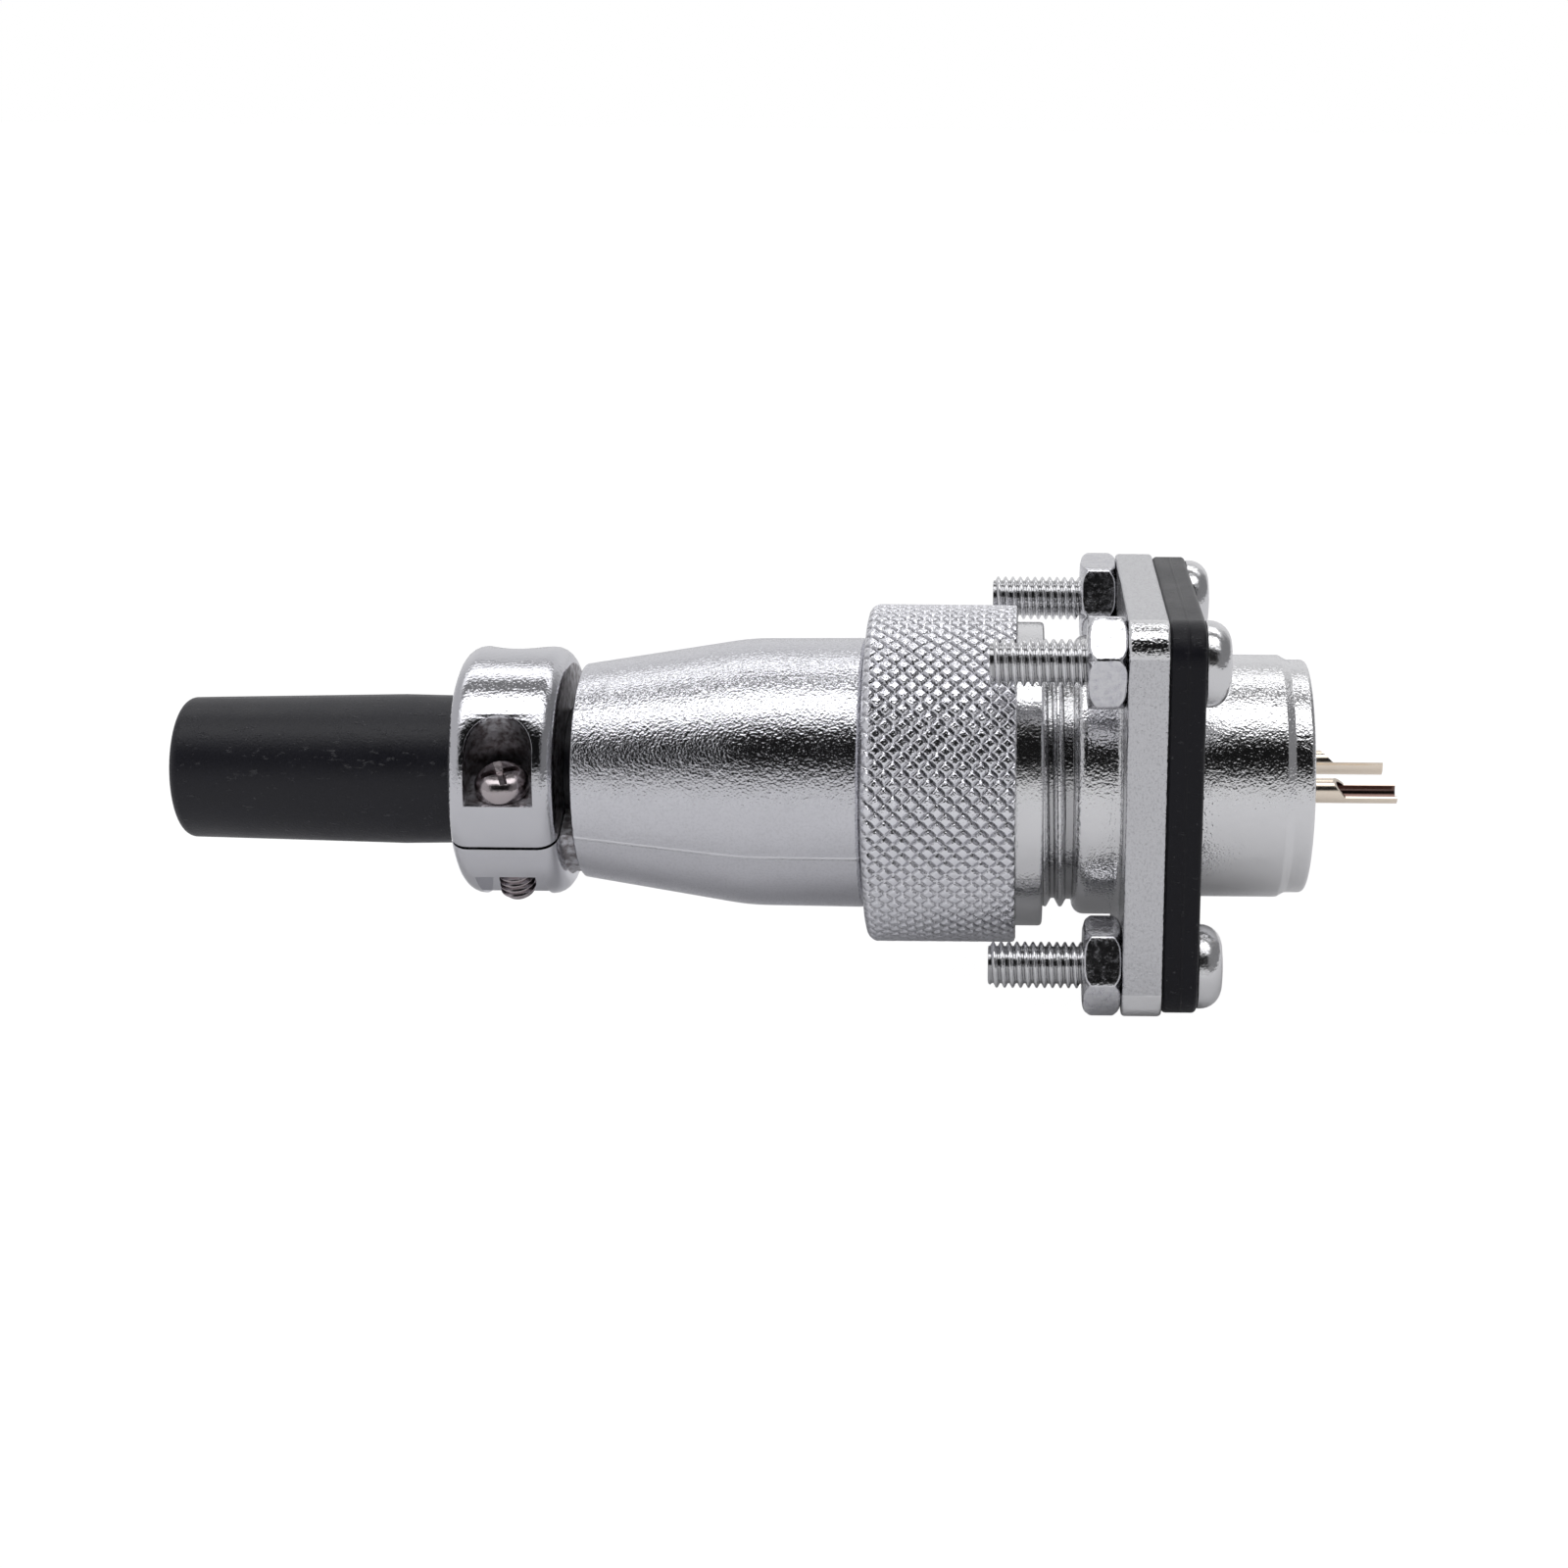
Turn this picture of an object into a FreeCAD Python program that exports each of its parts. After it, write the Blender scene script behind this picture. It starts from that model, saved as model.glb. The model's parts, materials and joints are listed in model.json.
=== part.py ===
"""A round two-contact connector pair: a panel receptacle with a square flange, and the cable
plug that is screwed onto it by a coupling ring.

X runs along the connector's axis, with +X towards the solder cups behind the panel. Z is up.
X = 0 is the rear face of the flange's gasket, which seats on the panel.
"""
import FreeCAD, Part
import math
import os
import Sketcher

Vector = FreeCAD.Vector
ALONG_X = Vector(1, 0, 0)

SIZES = {
    # Flange, gasket and the screws through them
    "flange_side": 25.2,
    "flange_thickness": 2.5,
    "flange_corner": 2.0,
    "flange_edge": 0.25,
    "gasket_setback": 0.1,
    "gasket_thickness": 2.2,
    "gasket_corner": 2.4,
    "gasket_edge": 0.3,
    "hole_margin": 2.9,
    "hole_radius": 1.6,
    "screw_radius": 1.45,
    "screw_length": 13.0,
    "screw_point": 0.3,
    "screw_head_radius": 2.65,
    "screw_head_height": 1.6,
    "screw_head_round": 1.35,
    "screw_recess_depth": 0.9,
    "screw_recess_arm": 1.45,
    "screw_recess_width": 0.6,
    "nut_flats": 5.5,
    "nut_thickness": 2.4,
    "nut_chamfer": 0.45,
    "nut_turn_top_front": 45.7,
    "nut_turn_low_front": 24.4,
    "nut_turn_low_back": 33.0,
    "nut_turn_top_back": 18.7,
    # Receptacle shell
    "collar_height": 0.45,
    "collar_length": 3.0,
    "collar_round": 0.8,
    "collar_fillet": 0.45,
    "barrel_radius": 8.65,
    "barrel_length": 9.3,
    "barrel_chamfer": 0.5,
    "relief_depth": 0.5,
    "relief_length": 0.5,
    "rear_radius": 7.9,
    "rear_length": 7.4,
    "rear_step": 0.3,
    "rear_step_start": 5.6,
    "rear_step_length": 0.55,
    "rear_edge": 0.3,
    "socket_radius": 7.2,
    "socket_depth": 11.0,
    "stop_radius": 5.7,
    "stop_thickness": 0.8,
    "insert_bore": 6.4,
    "insert_length": 10.0,
    "key_width": 1.6,
    "key_height": 0.6,
    "key_setback": 0.5,
    # Contacts
    "contact_offset": 3.4,
    "pin_radius": 0.75,
    "pin_reach": 7.5,
    "pin_nose": 0.4,
    "pin_nose_length": 0.6,
    "contact_collar_radius": 1.15,
    "contact_collar_length": 1.0,
    "cup_radius": 0.8,
    "cup_bore": 0.55,
    "cup_depth": 3.9,
    "cup_opening": 3.3,
    "cup_reach": 13.0,
    "cup_turn_front": 69.0,
    "cup_turn_back": 106.0,
    "socket_contact_radius": 1.25,
    "socket_contact_bore": 0.82,
    "socket_contact_depth": 7.5,
    "socket_contact_recess": 0.7,
    "socket_contact_tail": 5.5,
    # Plug shell and the ring that turns on it
    "seal_thickness": 0.5,
    "seal_setback": 0.25,
    "nose_gap": 0.6,
    "nose_chamfer": 0.3,
    "shoulder_setback": 0.15,
    "shoulder_length": 1.8,
    "neck_step": 0.6,
    "stub_step": 0.5,
    "stub_length": 5.0,
    "plug_bore": 6.0,
    "plug_stop_radius": 5.4,
    "plug_stop_thickness": 0.7,
    "plug_insert_length": 11.0,
    "ring_wall": 2.25,
    "ring_length": 9.6,
    "ring_rear_round": 0.8,
    "ring_front_edge": 0.3,
    "ring_lip": 1.5,
    "ring_nose_wall": 1.15,
    "ring_nose_length": 1.7,
    "ring_nose_edge": 0.25,
    "ring_mouth_chamfer": 0.4,
    "snap_thickness": 0.75,
    "snap_depth": 0.5,
    "snap_width": 1.0,
    "snap_sweep": 325.0,
    # Backshell, clamp and sleeve
    "backshell_collar_wall": 1.33,
    "backshell_draft": 0.08,
    "backshell_straight": 7.6,
    "backshell_length": 18.3,
    "backshell_blend": 15.0,
    "backshell_edge": 0.35,
    "backshell_end_radius": 6.95,
    "backshell_step": 6.0,
    "backshell_wall": 1.6,
    "o_ring_thickness": 1.0,
    "clamp_tilt": 24.0,
    "clamp_radius": 8.05,
    "clamp_width": 6.75,
    "clamp_round": 1.2,
    "clamp_slot": 0.9,
    "clamp_neck_radius": 6.6,
    "clamp_gap": 0.2,
    "clamp_parting": 0.2,
    "clamp_screw_offset": 5.6,
    "clamp_screw_radius": 1.15,
    "clamp_screw_below": 5.6,
    "clamp_screw_point": 0.2,
    "clamp_head_radius": 1.7,
    "clamp_head_height": 1.4,
    "clamp_head_round": 1.05,
    "clamp_recess_depth": 0.7,
    "clamp_recess_arm": 1.15,
    "clamp_recess_width": 0.45,
    "clamp_floor": 3.1,
    "clamp_pocket": 2.15,
    "clamp_notch_floor": 2.6,
    "sleeve_radius": 4.87,
    "sleeve_end_radius": 4.55,
    "sleeve_neck_radius": 4.8,
    "sleeve_grip_radius": 4.0,
    "sleeve_bore": 2.75,
    "sleeve_tail": 18.35,
    "sleeve_swell": 4.2,
    "sleeve_inside": 3.4,
    "sleeve_round": 0.6,
    # Clearances
    "thread_play": 0.1,
    "slide_play": 0.1,
    "ring_play": 0.1,
    "insert_play": 0.05,
    "pin_play": 0.03,
    "key_play": 0.1,
    "key_end_play": 0.2,
    "socket_mouth_play": 0.1,
    "gasket_play": 0.1,
}

# How far a cut runs past the face that it leaves through
OVERCUT = 1.0
# How far each screw's cross recess is turned, in degrees, as the screws were left
SCREW_RECESS_TURNS = (12.0, 38.0, 65.0, 27.0)
CLAMP_RECESS_TURNS = (20.0, 55.0)


class Size:
    """A length worked out from the sheet, as a number and as the formula that gives it."""

    def __init__(self, value, formula):
        self.value = float(value)
        self.formula = formula

    def __add__(self, other):
        other = as_size(other)
        return Size(self.value + other.value, f"({self.formula} + {other.formula})")

    def __sub__(self, other):
        other = as_size(other)
        return Size(self.value - other.value, f"({self.formula} - {other.formula})")

    def __mul__(self, other):
        other = as_size(other)
        return Size(self.value * other.value, f"({self.formula} * {other.formula})")

    def __truediv__(self, other):
        other = as_size(other)
        return Size(self.value / other.value, f"({self.formula} / {other.formula})")

    def __neg__(self):
        return Size(-self.value, f"(0 - {self.formula})")

    def __radd__(self, other):
        return as_size(other) + self

    def __rsub__(self, other):
        return as_size(other) - self

    def __rmul__(self, other):
        return as_size(other) * self


def as_size(number):
    """A plain number as a Size."""
    if isinstance(number, Size):
        return number
    return Size(number, f"({number})")


class SizeSheet:
    """The document's sheet of driving sizes, read as attributes."""

    def __init__(self, document):
        sheet = document.addObject("Spreadsheet::Sheet", "Sizes")
        for row, (name, value) in enumerate(SIZES.items(), start=1):
            sheet.set(f"A{row}", name)
            sheet.set(f"B{row}", str(value))
            sheet.setAlias(f"B{row}", name)
            setattr(self, name, Size(value, f"Sizes.{name}"))


doc = FreeCAD.newDocument("connector_pair")
size = SizeSheet(doc)
doc.recompute()

# Stations along X, from the panel seat forwards to the plug and backwards to the solder cups
seat = as_size(0)
gasket_front = seat - size.gasket_thickness
flange_front = gasket_front - size.flange_thickness
collar_front = flange_front - size.collar_length
relief_front = collar_front - size.relief_length
rim = collar_front - size.barrel_length
socket_floor = rim + size.socket_depth
insert_front = socket_floor + size.stop_thickness
insert_rear = insert_front + size.insert_length
shoulder_front = rim - size.seal_thickness
shoulder_rear = shoulder_front - size.shoulder_length
ring_lip_front = shoulder_rear - size.ring_play
ring_rear = ring_lip_front - size.ring_lip
ring_front = ring_rear + size.ring_length
ring_mouth = ring_front + size.ring_nose_length
nose_tip = socket_floor - size.nose_gap
plug_insert_front = nose_tip - size.plug_stop_thickness
plug_insert_rear = plug_insert_front - size.plug_insert_length
backshell_front = ring_rear - size.ring_play
stub_end = backshell_front - size.stub_length
o_ring_seat = stub_end - size.o_ring_thickness
backshell_end = backshell_front - size.backshell_length
clamp_front = backshell_end - size.clamp_slot
clamp_rear = clamp_front - size.clamp_width
clamp_middle = clamp_front - size.clamp_width / 2
sleeve_end = clamp_rear - size.sleeve_tail
sleeve_front = backshell_end + size.sleeve_inside

# Radii shared by mating pieces; those of the plug follow from the barrel it is screwed onto
nose_radius = size.socket_radius - size.slide_play
collar_radius = size.barrel_radius + size.collar_height
ring_bore = size.barrel_radius + size.thread_play
ring_radius = ring_bore + size.ring_wall
ring_nose_radius = ring_bore + size.ring_nose_wall
shoulder_radius = size.barrel_radius - size.shoulder_setback
neck_radius = shoulder_radius - size.neck_step
stub_radius = neck_radius - size.stub_step
backshell_bore = stub_radius + size.insert_play
backshell_radius = backshell_bore + size.backshell_collar_wall
snap_radius = size.insert_bore + size.snap_depth
plug_snap_radius = size.plug_bore + size.snap_depth
sleeve_passage = size.sleeve_grip_radius + size.pin_play

# The gasket stops short of the flange's sides, and the fixing holes stand in from them
gasket_side = size.flange_side - size.gasket_setback * 2
half_pitch = size.flange_side / 2 - size.hole_margin


def new_body(label):
    """An empty body that will hold one piece."""
    body = doc.addObject("PartDesign::Body", label)
    body.Label = label
    return body


def new_sketch(body, plane, offset=None):
    """A sketch on one of the body's origin planes, moved along that plane's normal."""
    sketch = body.newObject("Sketcher::SketchObject", body.Name + "_sketch")
    for feature in body.Origin.OriginFeatures:
        if feature.Role == plane:
            sketch.AttachmentSupport = [(feature, "")]
    sketch.MapMode = "FlatFace"
    if offset is not None:
        sketch.setExpression("AttachmentOffset.Base.z", offset.formula)
        sketch.AttachmentOffset = FreeCAD.Placement(Vector(0, 0, offset.value), FreeCAD.Rotation())
    return sketch


def pin_point(sketch, geometry, point, across, up):
    """Holds a point of the sketch at two sizes from the sketch's origin."""
    for kind, distance in (("DistanceX", across), ("DistanceY", up)):
        index = sketch.addConstraint(
            Sketcher.Constraint(kind, -1, 1, geometry, point, distance.value))
        sketch.setExpression(f"Constraints[{index}]", distance.formula)


def add_outline(sketch, corners):
    """A closed outline of straight edges, each corner held at its own two sizes."""
    corners = [(as_size(across), as_size(up)) for across, up in corners]
    places = [Vector(across.value, up.value, 0) for across, up in corners]
    first = sketch.GeometryCount
    for start, end in zip(places, places[1:] + places[:1]):
        sketch.addGeometry(Part.LineSegment(start, end), False)
    count = len(corners)
    for number, (across, up) in enumerate(corners):
        edge = first + number
        following = first + (number + 1) % count
        sketch.addConstraint(Sketcher.Constraint("Coincident", edge, 2, following, 1))
        pin_point(sketch, edge, 1, across, up)


def add_circle(sketch, across, up, radius):
    """A circle held at its own centre and radius."""
    across = as_size(across)
    up = as_size(up)
    centre = Vector(across.value, up.value, 0)
    circle = sketch.addGeometry(Part.Circle(centre, Vector(0, 0, 1), radius.value), False)
    pin_point(sketch, circle, 3, across, up)
    index = sketch.addConstraint(Sketcher.Constraint("Radius", circle, radius.value))
    sketch.setExpression(f"Constraints[{index}]", radius.formula)


def finish(body, feature):
    """Makes a new feature the body's last one, and stops if it failed."""
    body.Tip = feature
    doc.recompute()
    if not feature.isValid():
        raise RuntimeError(f"{feature.Name} failed: {feature.getStatusString()}")


def turn(body, corners, kind="PartDesign::Revolution", axis="H_Axis", sweep=None):
    """Turns an outline about X, with (along, radius) corners, or upright about its V_Axis."""
    sketch = new_sketch(body, "XZ_Plane")
    add_outline(sketch, corners)
    feature = body.newObject(kind, body.Name + "_turned")
    feature.Profile = sketch
    feature.ReferenceAxis = (sketch, [axis])
    feature.Angle = 360.0
    if sweep is not None:
        feature.setExpression("Angle", sweep.formula)
    finish(body, feature)


def pad(body, sketch, length):
    """Raises a sketch along its normal."""
    feature = body.newObject("PartDesign::Pad", body.Name + "_pad")
    feature.Profile = sketch
    feature.setExpression("Length", length.formula)
    finish(body, feature)


def pocket(body, sketch, upwards=False, depth=None):
    """Cuts a sketch against its normal, or along it, right through or to a depth."""
    before = body.Shape.Volume
    feature = body.newObject("PartDesign::Pocket", body.Name + "_pocket")
    feature.Profile = sketch
    feature.Reversed = upwards
    if depth is None:
        feature.Type = "ThroughAll"
    else:
        feature.setExpression("Length", depth.formula)
    finish(body, feature)
    if body.Shape.Volume >= before:
        raise RuntimeError(f"a cut in {body.Label} removed nothing")


def edge_names(shape, wanted):
    """The names of a shape's edges that a test picks out."""
    return [f"Edge{number}" for number, edge in enumerate(shape.Edges, start=1) if wanted(edge)]


def round_edges(body, radius, wanted):
    """Rounds the edges of the body's last feature that a test picks out."""
    base = body.Tip
    names = edge_names(base.Shape, wanted)
    if not names:
        raise RuntimeError(f"{body.Label} has no edge to round")
    feature = body.newObject("PartDesign::Fillet", body.Name + "_round")
    feature.Base = (base, names)
    feature.setExpression("Radius", radius.formula)
    finish(body, feature)


def is_circle(edge, along, radius, axis=0):
    """Whether an edge is a circle of this radius about the X or Z axis, at this station."""
    if not hasattr(edge.Curve, "Radius"):
        return False
    centre = edge.Curve.Center
    return (abs(edge.Curve.Radius - radius.value) < 1e-4
            and abs(centre[axis] - along.value) < 1e-4)


def copies(label, source, placements):
    """Equal separate solids of one piece, each at its own place, as one node."""
    solids = []
    for placement in placements:
        solid = source.Shape.copy()
        solid.Placement = placement.multiply(solid.Placement)
        solids.append(solid)
    group = doc.addObject("Part::Feature", label)
    group.Shape = Part.makeCompound(solids)
    group.Label = label
    return group


def tilt_with_clamp(piece):
    """Turns a piece that is modelled upright about X, by the clamp's own tilt."""
    piece.Placement = FreeCAD.Placement(Vector(), FreeCAD.Rotation(ALONG_X, size.clamp_tilt.value))
    if piece.TypeId == "PartDesign::Body":
        piece.setExpression("Placement.Rotation.Angle", size.clamp_tilt.formula)


def corner_places():
    """The four fixing holes, as (across, up) pairs: top front, low front, low back, top back."""
    return [(-half_pitch, half_pitch), (-half_pitch, -half_pitch),
            (half_pitch, -half_pitch), (half_pitch, half_pitch)]


def add_rounded_plate(body, side, thickness, corner, rear):
    """A square plate across the axis with rounded corners, its rear face at a station."""
    half = side / 2
    sketch = new_sketch(body, "YZ_Plane", rear - thickness)
    add_outline(sketch, [(-half, -half), (half, -half), (half, half), (-half, half)])
    pad(body, sketch, thickness)
    round_edges(body, corner, lambda edge: edge.BoundBox.XLength > thickness.value / 2)


def add_fixing_holes(body, rear):
    """The four screw holes, cut forwards from a station."""
    sketch = new_sketch(body, "YZ_Plane", rear)
    for across, up in corner_places():
        add_circle(sketch, across, up, size.hole_radius)
    pocket(body, sketch)


def on_plate_outline(side):
    """A test for the edges that run round a plate's outline, on its two faces."""
    def wanted(edge):
        box = edge.BoundBox
        reach = max(abs(box.YMin), abs(box.YMax), abs(box.ZMin), abs(box.ZMax))
        return box.XLength < 1e-4 and abs(reach - side.value / 2) < 1e-4
    return wanted


def make_receptacle_shell():
    """Square flange, threaded barrel in front and plain body behind, cast in one piece."""
    body = new_body("receptacle_shell")
    add_rounded_plate(body, size.flange_side, size.flange_thickness, size.flange_corner,
                      gasket_front)
    round_edges(body, size.flange_edge, on_plate_outline(size.flange_side))
    step_end = size.rear_step_start + size.rear_step_length
    step_radius = size.rear_radius - size.rear_step
    relief_radius = size.barrel_radius - size.relief_depth
    turn(body, [
        (rim, 0),
        (rim, size.barrel_radius - size.barrel_chamfer),
        (rim + size.barrel_chamfer, size.barrel_radius),
        (relief_front, size.barrel_radius),
        (relief_front, relief_radius),
        (collar_front, relief_radius),
        (collar_front, collar_radius),
        (flange_front, collar_radius),
        (gasket_front, collar_radius),
        (gasket_front, size.rear_radius),
        (size.rear_step_start, size.rear_radius),
        (step_end, step_radius),
        (size.rear_length - size.rear_edge, step_radius),
        (size.rear_length, step_radius - size.rear_edge),
        (size.rear_length, 0),
    ])
    groove_end = insert_rear + size.snap_thickness + size.insert_play
    turn(body, [
        (rim - OVERCUT, 0),
        (rim - OVERCUT, size.socket_radius),
        (socket_floor, size.socket_radius),
        (socket_floor, size.stop_radius),
        (insert_front, size.stop_radius),
        (insert_front, size.insert_bore),
        (insert_rear, size.insert_bore),
        (insert_rear, snap_radius),
        (groove_end, snap_radius),
        (groove_end, size.insert_bore),
        (size.rear_length + OVERCUT, size.insert_bore),
        (size.rear_length + OVERCUT, 0),
    ], "PartDesign::Groove")
    add_fixing_holes(body, gasket_front)
    add_key(body)
    round_edges(body, size.collar_round,
                lambda edge: is_circle(edge, collar_front, collar_radius))
    round_edges(body, size.collar_fillet,
                lambda edge: is_circle(edge, flange_front, collar_radius))
    return body


def add_key(body):
    """The key along the top of the receptacle's socket."""
    half = size.key_width / 2
    start = rim + size.key_setback
    sketch = new_sketch(body, "XY_Plane", size.socket_radius - size.key_height)
    add_outline(sketch, [(start, -half), (socket_floor, -half), (socket_floor, half), (start, half)])
    pad(body, sketch, size.key_height + size.slide_play)


def make_flange_gasket():
    """The soft square gasket between the flange and the panel."""
    body = new_body("flange_gasket")
    add_rounded_plate(body, gasket_side, size.gasket_thickness, size.gasket_corner, seat)
    round_edges(body, size.gasket_edge, on_plate_outline(gasket_side))
    sketch = new_sketch(body, "YZ_Plane", seat)
    add_circle(sketch, 0, 0, size.rear_radius + size.gasket_play)
    pocket(body, sketch)
    add_fixing_holes(body, seat)
    return body


def make_screw(name, radius, length, point, head_radius, head_height, head_round, recess):
    """A cross-recessed screw standing along Z, with the underside of its head at Z = 0."""
    body = new_body(name)
    turn(body, [
        (0, -length),
        (radius - point, -length),
        (radius, point - length),
        (radius, 0),
        (head_radius, 0),
        (head_radius, head_height),
        (0, head_height),
    ], axis="V_Axis")
    round_edges(body, head_round, lambda edge: is_circle(edge, head_height, head_radius, axis=2))
    depth, arm, width = recess
    sketch = new_sketch(body, "XY_Plane", head_height)
    half = width / 2
    add_outline(sketch, [
        (-arm, -half), (-half, -half), (-half, -arm), (half, -arm), (half, -half), (arm, -half),
        (arm, half), (half, half), (half, arm), (-half, arm), (-half, half), (-arm, half),
    ])
    pocket(body, sketch, depth=depth)
    return body


def make_flange_screws():
    """Four screws through gasket and flange, with their heads behind the gasket."""
    screw = make_screw("flange_screw_pattern", size.screw_radius, size.screw_length,
                       size.screw_point, size.screw_head_radius, size.screw_head_height,
                       size.screw_head_round,
                       (size.screw_recess_depth, size.screw_recess_arm, size.screw_recess_width))
    heads_backwards = FreeCAD.Rotation(Vector(0, 1, 0), 90)
    placements = []
    for (across, up), angle in zip(corner_places(), SCREW_RECESS_TURNS):
        rotation = FreeCAD.Rotation(ALONG_X, angle).multiply(heads_backwards)
        placements.append(FreeCAD.Placement(Vector(seat.value, across.value, up.value), rotation))
    return copies("flange_screws", screw, placements)


def make_flange_nuts():
    """Four hexagon nuts on the flange's front face, each turned as it was tightened."""
    corner = size.nut_flats / math.sqrt(3)
    hexagon = doc.addObject("Part::Prism", "nut_hexagon")
    hexagon.Polygon = 6
    hexagon.setExpression("Circumradius", corner.formula)
    hexagon.setExpression("Height", size.nut_thickness.formula)
    blank = new_body("nut_blank")
    bore = size.screw_radius + size.pin_play
    shoulder = size.nut_flats / 2
    outside = corner + size.nut_chamfer / 2
    turn(blank, [
        (bore, 0),
        (shoulder, 0),
        (outside, size.nut_chamfer),
        (outside, size.nut_thickness - size.nut_chamfer),
        (shoulder, size.nut_thickness),
        (bore, size.nut_thickness),
    ], axis="V_Axis")
    nut = doc.addObject("Part::Common", "nut_pattern")
    nut.Base = hexagon
    nut.Tool = blank
    doc.recompute()
    upright = FreeCAD.Rotation(Vector(0, 1, 0), -90)
    turns = (size.nut_turn_top_front, size.nut_turn_low_front,
             size.nut_turn_low_back, size.nut_turn_top_back)
    # Unturned, one face of each nut looks along -Y; the turn raises it towards +Z
    placements = []
    for (across, up), angle in zip(corner_places(), turns):
        rotation = FreeCAD.Rotation(ALONG_X, -angle.value).multiply(upright)
        place = Vector(flange_front.value, across.value, up.value)
        placements.append(FreeCAD.Placement(place, rotation))
    return copies("flange_nuts", nut, placements)


def make_receptacle_insert():
    """The moulded insulator that holds the two pins in the receptacle."""
    body = new_body("receptacle_insert")
    outside = size.insert_bore - size.insert_play
    boss = size.stop_radius - size.insert_play
    turn(body, [
        (socket_floor, 0),
        (socket_floor, boss),
        (insert_front, boss),
        (insert_front, outside),
        (insert_rear, outside),
        (insert_rear, 0),
    ])
    sketch = new_sketch(body, "YZ_Plane", insert_rear)
    for side in (-1, 1):
        add_circle(sketch, side * size.contact_offset, 0, size.pin_radius + size.pin_play)
    pocket(body, sketch)
    sketch = new_sketch(body, "YZ_Plane", insert_rear)
    for side in (-1, 1):
        add_circle(sketch, side * size.contact_offset, 0,
                   size.contact_collar_radius + size.pin_play)
    pocket(body, sketch, depth=size.contact_collar_length)
    return body


def cut_solder_cup(body, start, end):
    """Cuts away the upper half of a solder cup, from a sloping throat out to its open end."""
    outside = size.cup_radius + OVERCUT
    sketch = new_sketch(body, "XZ_Plane")
    slope = size.cup_radius
    direction = 1 if end.value > start.value else -1
    add_outline(sketch, [
        (start, 0),
        (end + direction * OVERCUT, 0),
        (end + direction * OVERCUT, outside),
        (start - direction * (slope + OVERCUT), outside),
    ])
    before = body.Shape.Volume
    feature = body.newObject("PartDesign::Pocket", body.Name + "_cup")
    feature.Profile = sketch
    feature.Type = "ThroughAll"
    feature.Midplane = True
    finish(body, feature)
    if body.Shape.Volume >= before:
        raise RuntimeError(f"the cup of {body.Label} is not open")


def make_pin_contact(label, side, cup_turn):
    """A turned pin with a seating collar and a half-open solder cup behind."""
    body = new_body(label)
    tip = socket_floor - size.pin_reach
    collar_start = insert_rear - size.contact_collar_length
    cup_floor = size.cup_reach - size.cup_depth
    turn(body, [
        (tip, 0),
        (tip, size.pin_radius - size.pin_nose),
        (tip + size.pin_nose_length, size.pin_radius),
        (collar_start, size.pin_radius),
        (collar_start, size.contact_collar_radius),
        (insert_rear, size.contact_collar_radius),
        (insert_rear, size.cup_radius),
        (size.cup_reach, size.cup_radius),
        (size.cup_reach, size.cup_bore),
        (cup_floor, size.cup_bore),
        (cup_floor, 0),
    ])
    cut_solder_cup(body, size.cup_reach - size.cup_opening, size.cup_reach)
    place_contact(body, side, cup_turn)
    return body


def place_contact(body, side, cup_turn):
    """Moves a contact out to its own side and turns its cup's opening up from the front."""
    rotation = FreeCAD.Rotation(ALONG_X, 90 - cup_turn.value)
    body.Placement = FreeCAD.Placement(Vector(), rotation)
    body.setExpression("Placement.Base.y", (side * size.contact_offset).formula)
    body.setExpression("Placement.Rotation.Angle", (90 - cup_turn).formula)


def make_socket_contact(label, side, cup_turn):
    """A turned socket that takes the pin, with a solder cup at its rear end."""
    body = new_body(label)
    mouth = plug_insert_front - size.socket_contact_recess
    floor = mouth - size.socket_contact_depth
    tail = plug_insert_rear - size.socket_contact_tail
    cup_floor = tail + size.cup_depth
    turn(body, [
        (mouth, size.socket_contact_bore),
        (mouth, size.socket_contact_radius),
        (plug_insert_rear, size.socket_contact_radius),
        (plug_insert_rear, size.cup_radius),
        (tail, size.cup_radius),
        (tail, size.cup_bore),
        (cup_floor, size.cup_bore),
        (cup_floor, 0),
        (floor, 0),
        (floor, size.socket_contact_bore),
    ])
    cut_solder_cup(body, tail + size.cup_opening, tail)
    place_contact(body, side, cup_turn)
    return body


def make_snap_ring(label, front, radius):
    """A sprung open ring in its groove behind an insert."""
    body = new_body(label)
    outside = radius - size.insert_play
    inside = radius - size.snap_width
    rear = front + size.snap_thickness
    turn(body, [(front, inside), (front, outside), (rear, outside), (rear, inside)],
         sweep=size.snap_sweep)
    return body


def make_face_seal():
    """The flat rubber ring that the plug's shoulder presses on the receptacle's rim."""
    body = new_body("face_seal")
    inside = nose_radius + size.insert_play
    outside = size.barrel_radius - size.seal_setback
    turn(body, [(shoulder_front, inside), (shoulder_front, outside), (rim, outside), (rim, inside)])
    return body


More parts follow.
